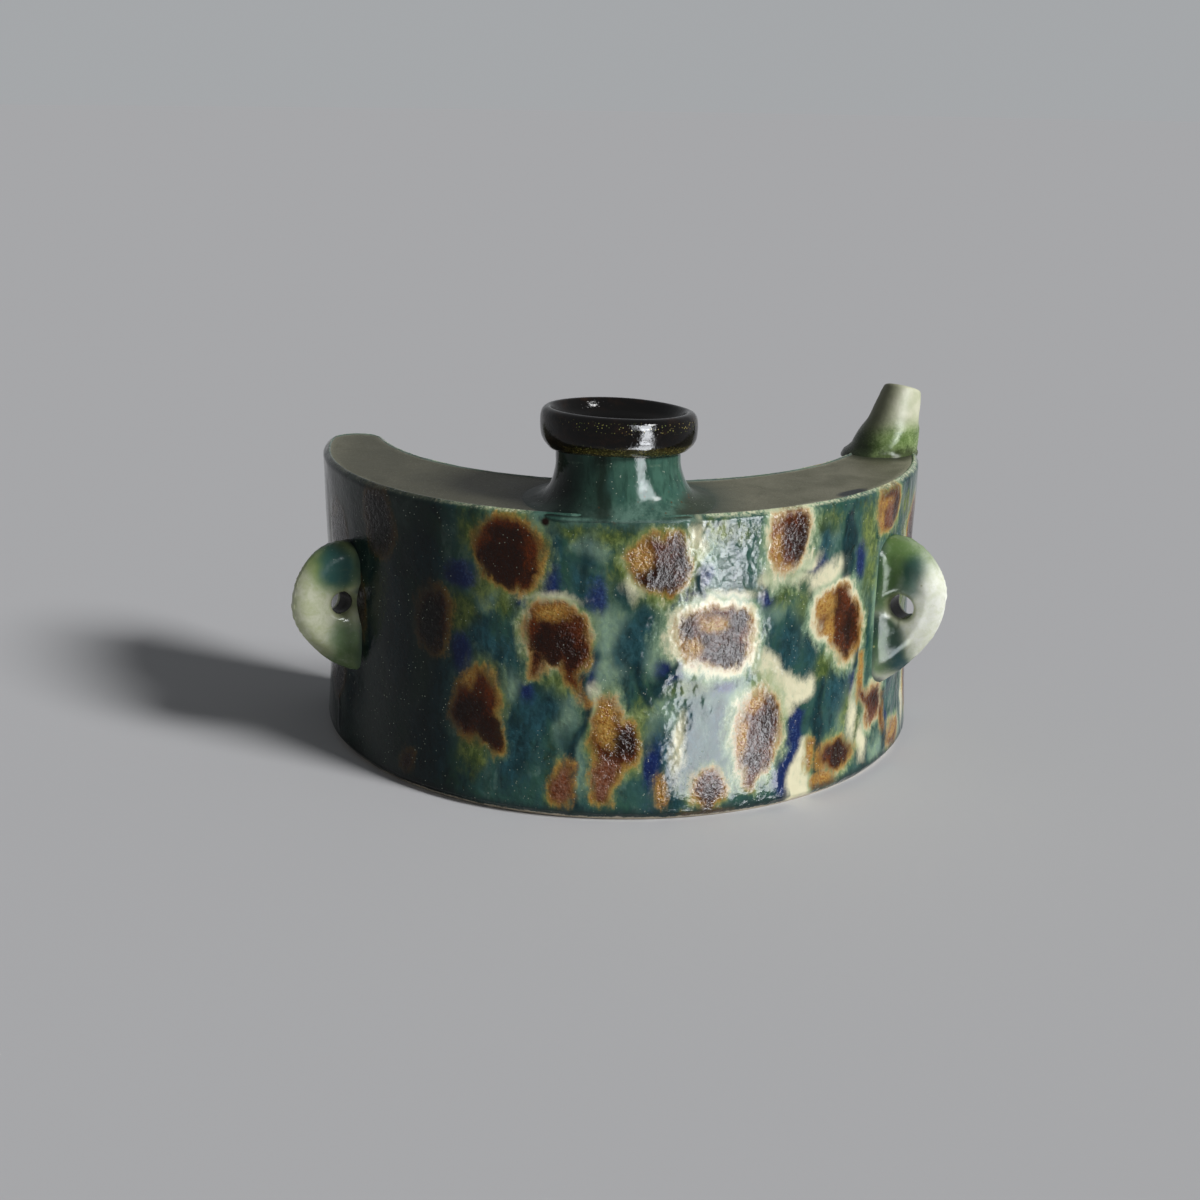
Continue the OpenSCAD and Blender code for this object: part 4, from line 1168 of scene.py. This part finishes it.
def neck_glaze():
    s = Shader("neck_glaze")
    grain = s.noise(0.8, 3.0, 0.65)
    streaks = s.noise(2.6, 4.0, 0.65, stretch=4.0, warp=0.6)
    wide = s.noise(8.0, 3.0, 0.6, stretch=1.6)
    tint = s.mix(s.rise(s.total((streaks, 1.0), (wide, 0.7)), -0.6, 1.0), colour(66, 102, 88), colour(34, 62, 52))
    tint = s.mix(s.rise(s.total((wide, 1.0), (streaks, 0.4)), 0.1, 1.2, 0.0, 0.6), tint, colour(88, 136, 124))
    low = s.total((s.field("height"), 1.0), (wide, 1.4), (streaks, 0.6))
    tint = s.mix(s.rise(low, 0.5, 5.0, 1.0, 0.0), tint, foot_of_neck(s))
    # Painted shade: the neck's left side darkens almost to black.
    left = s.total((s.field("side"), 1.0), (streaks, 2.4), (s.field("height"), 0.3))
    right = s.total((s.field("side"), 1.0), (s.field("height"), -1.4), (wide, 2.0))
    tint = s.mix(s.rise(right, 11.0, 19.0, 0.0, 0.9), tint, colour(50, 56, 42))
    tint = s.mix(s.rise(left, -15.0, 4.0, 0.94, 0.0), tint, colour(12, 20, 17))
    tint = s.mix(s.rise(s.field("height"), -1.0, -0.1, 1.0, 0.0), tint, foot_of_neck(s))
    tint = s.mix(s.rise(s.total((s.field("streak"), 1.0), (streaks, 1.0)), -1.4, 2.4, 0.0, 0.75), tint,
                 colour(22, 28, 20))
    dots = s.maths("MULTIPLY", s.rise(s.cells(2.3), 0.1, 0.2, 1.0, 0.0), s.rise(s.field("specks"), -0.6, 1.0))
    tint = s.mix(s.maths("MULTIPLY", dots, 0.75), tint, colour(84, 56, 24))
    joint = s.rise(s.maths("ABSOLUTE", s.total((s.field("joint"), 1.0), (grain, 0.2))), 0.15, 0.5, 0.45, 0.0)
    joint = s.maths("MULTIPLY", joint, s.rise(s.total((wide, 1.0), (grain, 0.5)), -0.2, 1.2))
    tint = s.mix(joint, tint, colour(124, 148, 126))
    tint, speck = pits_and_glints(s, tint, 0.8)
    # Painted shade: the inside of the throat is near black.
    tint = s.mix(s.field("inside"), tint, colour(14, 11, 8))
    on_slab = s.rise(low, 0.0, 5.0, 0.4, 0.0)
    roughness = s.maths("ADD", s.total((s.rise(grain, -1, 1), 0.05), (speck, 0.2), (on_slab, 1.0)), 0.03)
    height = s.total((s.noise(3.2, 2.0), 0.14), (grain, 0.05), (speck, -0.4))
    s.surface.inputs["Specular IOR Level"].default_value = 0.13
    return s.finish(tint, roughness, height, 0.5, 0.3)


def rim_glaze():
    s = Shader("rim_glaze")
    grain = s.noise(0.7, 3.0, 0.7)
    cloud = s.noise(6.0, 3.0, 0.6, stretch=0.5)
    tint = s.mix(s.rise(s.total((cloud, 1.0), (grain, 0.3)), -0.2, 1.5), colour(9, 7, 6), colour(40, 24, 13))
    specks = s.rise(s.cells(0.8), 0.10, 0.30, 1.0, 0.0)
    gold = s.mix(s.rise(s.noise(3.0), -0.6, 0.6), colour(192, 170, 96), colour(124, 146, 78))
    gold = s.mix(s.rise(s.noise(5.0), 0.0, 1.0), gold, colour(128, 76, 32))
    facing = s.rise(s.total((s.field("front"), 1.0), (s.field("side"), 0.6), (cloud, 2.0)), 2.0, 16.0)
    on_ridge = s.rise(s.total((s.field("ridge"), 1.0), (grain, 0.5), (cloud, 0.4)), 0.2, 1.9, 0.9, 0.0)
    tint = s.mix(s.maths("MULTIPLY", s.maths("MULTIPLY", specks, on_ridge), facing), tint, gold)
    below = s.rise(s.total((s.field("lower"), 1.0), (cloud, 0.8)), 0.6, 2.6)
    moss = s.maths("MULTIPLY", s.maths("MULTIPLY", below, s.rise(s.cells(0.9), 0.16, 0.44, 1.0, 0.25)), facing)
    moss_tint = s.mix(s.rise(grain, -1, 1), colour(92, 92, 40), colour(178, 162, 92))
    tint = s.mix(s.maths("MULTIPLY", moss, 0.8), tint, moss_tint)
    # Painted shade: the lip darkens to near black down its inside into the mouth.
    tint = s.mix(s.rise(s.field("radius"), THROAT_R + 2.0, RIM_R - 2.4, 1.0, 0.0), tint, colour(7, 6, 5))
    roughness = s.maths("ADD", s.total((s.rise(grain, -1, 1), 0.05), (specks, 0.1)), 0.04)
    height = s.total((s.noise(2.6, 2.0), 0.16), (specks, 0.1), (grain, 0.05))
    s.surface.inputs["Specular IOR Level"].default_value = 0.22
    return s.finish(tint, roughness, height, 0.5, 0.3)


def spout_glaze():
    s = Shader("spout_glaze")
    grain = s.noise(0.7, 3.0, 0.65)
    cloud = s.noise(4.5, 3.0, 0.6)
    height_field = s.total((s.field("height"), 1.0), (cloud, 1.1), (grain, 0.4))
    tint = s.mix(s.rise(cloud, -0.8, 0.8), colour(218, 218, 192), colour(196, 200, 168))
    green = s.mix(s.rise(s.total((cloud, 1.0), (grain, 0.8)), -1.2, 1.2), colour(92, 118, 58), colour(146, 168, 108))
    tint = s.mix(s.rise(height_field, 7.0, 14.0, 1.0, 0.0), tint, green)
    # Darker at the foot: pooled green glaze, with painted shade in the crease against the slab.
    tint = s.mix(s.rise(height_field, 0.0, 4.2, 0.8, 0.0), tint, colour(48, 54, 32))
    shaded = s.rise(s.total((s.field("side"), 1.0), (cloud, 0.8), (s.field("height"), -0.15)), -9.0, -1.5, 0.85, 0.0)
    tint = s.mix(shaded, tint, s.mix(s.rise(height_field, 4.0, 15.0), colour(40, 50, 32), colour(98, 100, 76)))
    tint = s.mix(s.field("inside"), tint, colour(84, 76, 58))
    roughness = s.maths("ADD", s.total((s.rise(grain, -1, 1), 0.1), (s.rise(height_field, 6, 14), 0.2)), 0.2)
    height = s.total((s.noise(2.6, 2.0), 0.2), (grain, 0.12))
    s.surface.inputs["Specular IOR Level"].default_value = 0.2
    return s.finish(tint, roughness, height, 0.5, 0.3)


def lug_patch(s, middle_out, middle_up, half_out, half_up, blur):
    """A soft patch on a lug: 1 in its middle, 0 outside."""
    across = s.maths("DIVIDE", s.maths("SUBTRACT", s.field("out"), middle_out), half_out)
    upward = s.maths("DIVIDE", s.maths("SUBTRACT", s.field("up"), middle_up), half_up)
    away = s.maths("SQRT", s.maths("ADD", s.maths("POWER", s.maths("ABSOLUTE", across), 2.0),
                                   s.maths("POWER", s.maths("ABSOLUTE", upward), 2.0)))
    return s.rise(away, 1.0 - blur, 1.0 + blur, 1.0, 0.0)


def lug_glaze(name, patches, cream, shade, speck_tint):
    """Cream glaze with soft patches, each [out, up, half width, half height, blur, share, colour]."""
    s = Shader(name)
    grain = s.noise(0.8, 3.0, 0.65)
    cloud = s.noise(4.0, 4.0, 0.65, warp=0.5)
    tint = s.mix(s.rise(s.total((cloud, 1.0), (grain, 0.3)), -0.8, 0.9), cream, shade)
    for out, up, half_out, half_up, blur, share, patch in patches:
        cover = lug_patch(s, out, up, half_out, half_up, blur)
        ragged = s.rise(s.total((cloud, 1.0), (grain, 0.4)), -2.2, 0.2, 0.75 * share, share)
        cover = s.maths("MULTIPLY", cover, ragged)
        tint = s.mix(cover, tint, patch)
    near_wall = s.total((s.field("out"), 1.0), (cloud, 0.5))
    tint = s.mix(s.rise(near_wall, -0.6, 2.2, 0.85, 0.0), tint, colour(30, 56, 50))
    by_hole = s.total((s.field("from_hole"), 1.0), (cloud, 0.5))
    tint = s.mix(s.rise(by_hole, 0.2, 1.8, 0.5, 0.0), tint, colour(150, 156, 112))
    # Painted shade: the hole's bore is dark.
    tint = s.mix(s.rise(s.field("from_hole"), -0.5, 0.1, 1.0, 0.0), tint, colour(34, 30, 20))
    tint = s.mix(s.rise(s.cells(7.5), 0.03, 0.07, 0.8, 0.0), tint, speck_tint)
    tint, speck = pits_and_glints(s, tint, 0.4)
    roughness = s.maths("ADD", s.total((s.rise(grain, -1, 1), 0.06), (s.rise(s.field("out"), 6.0, 13.0), 0.28)), 0.12)
    height = s.total((s.noise(3.0, 2.0), 0.2), (grain, 0.06), (speck, -0.3))
    s.surface.inputs["Specular IOR Level"].default_value = 0.15
    return s.finish(tint, roughness, height, 0.5, 0.3)


LEFT_LUG_PATCHES = [
    [5.0, 17.0, 13.0, 9.0, 0.5, 0.75, colour(112, 130, 66)],
    [6.4, 12.6, 7.2, 8.0, 0.35, 0.8, colour(108, 134, 74)],
    [6.0, 13.0, 5.6, 6.8, 0.4, 0.95, colour(44, 88, 86)],
    [4.0, -10.0, 5.4, 6.0, 0.6, 0.8, colour(84, 118, 76)],
    [3.2, -19.0, 8.0, 7.0, 0.5, 0.9, colour(72, 96, 54)],
    [12.6, -14.0, 4.0, 3.0, 0.6, 0.5, colour(96, 104, 60)],
]
RIGHT_LUG_PATCHES = [
    [3.0, 20.0, 12.0, 9.0, 0.45, 0.95, colour(88, 122, 58)],
    [10.0, 16.0, 3.4, 4.6, 0.6, 0.95, colour(44, 82, 72)],
    [2.0, 10.0, 4.6, 8.0, 0.45, 0.95, colour(62, 92, 46)],
    [9.4, 10.6, 3.2, 3.6, 0.6, 0.9, colour(56, 98, 80)],
    [2.0, -4.0, 5.0, 7.0, 0.45, 0.95, colour(48, 72, 50)],
    [3.6, -12.0, 6.8, 8.0, 0.5, 0.9, colour(84, 114, 72)],
    [5.8, -8.0, 3.0, 5.6, 0.6, 0.9, colour(40, 68, 58)],
    [7.0, -15.4, 2.4, 5.0, 0.6, 0.9, colour(48, 84, 92)],
]


def clay(name, tone, dark):
    """Unglazed stoneware: sandy, with darker grog."""
    s = Shader(name)
    grain = s.noise(0.6, 4.0, 0.7)
    cloud = s.noise(9.0, 3.0, 0.6)
    tint = s.mix(s.rise(s.total((cloud, 1.0), (grain, 0.6)), -1.0, 1.0), tone, dark)
    grog = s.rise(s.cells(1.7), 0.1, 0.22, 0.6, 0.0)
    tint = s.mix(grog, tint, colour(112, 88, 66))
    roughness = s.maths("ADD", s.maths("MULTIPLY", s.rise(grain, -1, 1), 0.15), 0.72)
    height = s.total((grain, 0.5), (grog, -0.5), (s.noise(3.0), 0.3))
    return s.finish(tint, roughness, height, 0.7, 0.3)


MATERIALS = {
    "wall_glaze": wall_glaze(),
    "top_glaze": top_glaze(),
    "neck_glaze": neck_glaze(),
    "rim_glaze": rim_glaze(),
    "spout_glaze": spout_glaze(),
    "left_lug": lug_glaze("left_lug_glaze", LEFT_LUG_PATCHES, colour(206, 208, 184), colour(182, 188, 148), colour(142, 104, 50)),
    # The right lug's cream and second tone are lighter than the left lug's: painted light that brightens the right
    # lug's face.
    "right_lug": lug_glaze("right_lug_glaze", RIGHT_LUG_PATCHES, colour(250, 252, 240), colour(226, 230, 204), colour(150, 156, 110)),
    "foot_clay": clay("foot_clay", BARE_CLAY, colour(178, 162, 136)),
    "bare_clay": clay("bare_clay", colour(196, 180, 152), colour(168, 150, 122)),
}


# Camera, floor and lights

FLOOR_TINT = colour(198, 198, 200)
# Levels of the world as it lights the flask, and as the camera and the glaze see it
SURROUND_LIGHT = 0.14
BACKGROUND_LIGHT = 0.40
KEY_PLACE = (1.0, -0.62, 0.82)


def stand_camera():
    """The photograph's place and angle, from the fit of the body's circles and edges."""
    camera = bpy.data.cameras.new("camera")
    camera.lens, camera.sensor_width = 51.0, 36.0
    camera.clip_start, camera.clip_end = 0.01, 30.0
    holder = bpy.data.objects.new("camera", camera)
    holder.location = np.array([2.28, -523.68, 215.87]) * MM
    holder.rotation_euler = [math.radians(a) for a in (72.643, -0.798, 1.115)]
    bpy.context.scene.collection.objects.link(holder)
    bpy.context.scene.camera = holder


def plain_floor():
    """A wide pale floor."""
    sides, radius = 96, 9000.0
    turn = np.arange(sides) * 2 * math.pi / sides
    points = np.stack([radius * np.cos(turn), radius * np.sin(turn), 0 * turn], -1)
    mesh = bpy.data.meshes.new("floor")
    mesh.from_pydata((points * MM).tolist(), [], [list(range(sides))])
    shader = Shader("floor")
    shader.surface.inputs["Base Color"].default_value = FLOOR_TINT
    shader.surface.inputs["Roughness"].default_value = 0.9
    shader.surface.inputs["Specular IOR Level"].default_value = 0.0
    mesh.materials.append(shader.material)
    floor = bpy.data.objects.new("floor", mesh)
    bpy.context.scene.collection.objects.link(floor)


def link_lamp(name, lamp, place, aim):
    holder = bpy.data.objects.new(name, lamp)
    holder.location = Vector(place) * MM
    holder.rotation_euler = (Vector(aim) - Vector(place)).to_track_quat("-Z", "Y").to_euler()
    holder.visible_camera = False
    bpy.context.scene.collection.objects.link(holder)
    return holder


def sun(name, place, irradiance, spread):
    lamp = bpy.data.lights.new(name, "SUN")
    lamp.energy = irradiance
    lamp.angle = math.radians(spread)
    return link_lamp(name, lamp, place, (0, 0, 0))


def gleam(name, place, aim, size, radiance):
    """A bright card that shows only as a highlight in the glaze, like a window's reflection."""
    lamp = bpy.data.lights.new(name, "AREA")
    lamp.shape = "RECTANGLE"
    lamp.size, lamp.size_y = size[0] * MM, size[1] * MM
    lamp.energy = radiance * math.pi * lamp.size * lamp.size_y
    lamp.color = (0.93, 0.96, 1.0)
    holder = link_lamp(name, lamp, place, aim)
    holder.visible_diffuse = False
    holder.visible_transmission = False
    return holder


def studio_light():
    """Soft light from the right front, a weak even surround, and the gleams of a tall window."""
    world = bpy.data.worlds.new("world")
    world.use_nodes = True
    tree = world.node_tree
    ground = tree.nodes["Background"]
    ground.inputs["Color"].default_value = (0.94, 0.97, 1.0, 1.0)
    path = tree.nodes.new("ShaderNodeLightPath")
    seen = path.outputs["Is Camera Ray"]
    for kind in ("Is Glossy Ray", "Is Transmission Ray"):
        either = tree.nodes.new("ShaderNodeMath")
        either.operation = "MAXIMUM"
        tree.links.new(seen, either.inputs[0])
        tree.links.new(path.outputs[kind], either.inputs[1])
        seen = either.outputs[0]
    level = tree.nodes.new("ShaderNodeMapRange")
    level.inputs["To Min"].default_value = SURROUND_LIGHT
    level.inputs["To Max"].default_value = BACKGROUND_LIGHT
    tree.links.new(seen, level.inputs["Value"])
    tree.links.new(level.outputs[0], ground.inputs["Strength"])
    bpy.context.scene.world = world
    sun("key", KEY_PLACE, 3.0, 16.0)

    # The low gleam lies as a ramp in front of the wall, across the rays that the camera sees mirrored there
    across, along = np.array([0.803, 0.593, 0.0]), np.array([0.524, -0.709, 0.469])
    facing = np.cross(across, along)
    facing = facing if facing[2] > 0 else -facing
    middle = np.array([128.0, -176.0, 76.0])
    panes = (-158, -86, 25.0), (-75, -40, 44.0), (-30, 58, 36.0), (68, 158, 36.0)
    for pane, (low, high, radiance) in enumerate(panes):
        at = middle + along * (low + high) / 2
        gleam("low_gleam_{}".format(pane), at, at + facing * 100, (52, high - low), radiance)
    gleam("window_gleam", (420, -520, 280), (0, -30, 110), (300, 340), 34.0)


stand_camera()
plain_floor()
studio_light()

wall_piece("front_wall_glazed", "front_wall", -SEAM_ARC, SEAM_ARC)
wall_piece("back_wall_glazed", "back_wall", SEAM_ARC, LOOP - SEAM_ARC)
top_slab_piece()
base_slab_piece()
neck_piece()
rim_piece()
spout_piece()
lug_piece(-1, "left_lug_glazed", "left_lug")
lug_piece(1, "right_lug_glazed", "right_lug")
for coil in ("lower_seam_coil", "upper_seam_coil"):
    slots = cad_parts[coil].data.materials
    slots.clear()
    slots.append(MATERIALS["bare_clay"])

scene = bpy.context.scene
scene.view_settings.view_transform = "Standard"
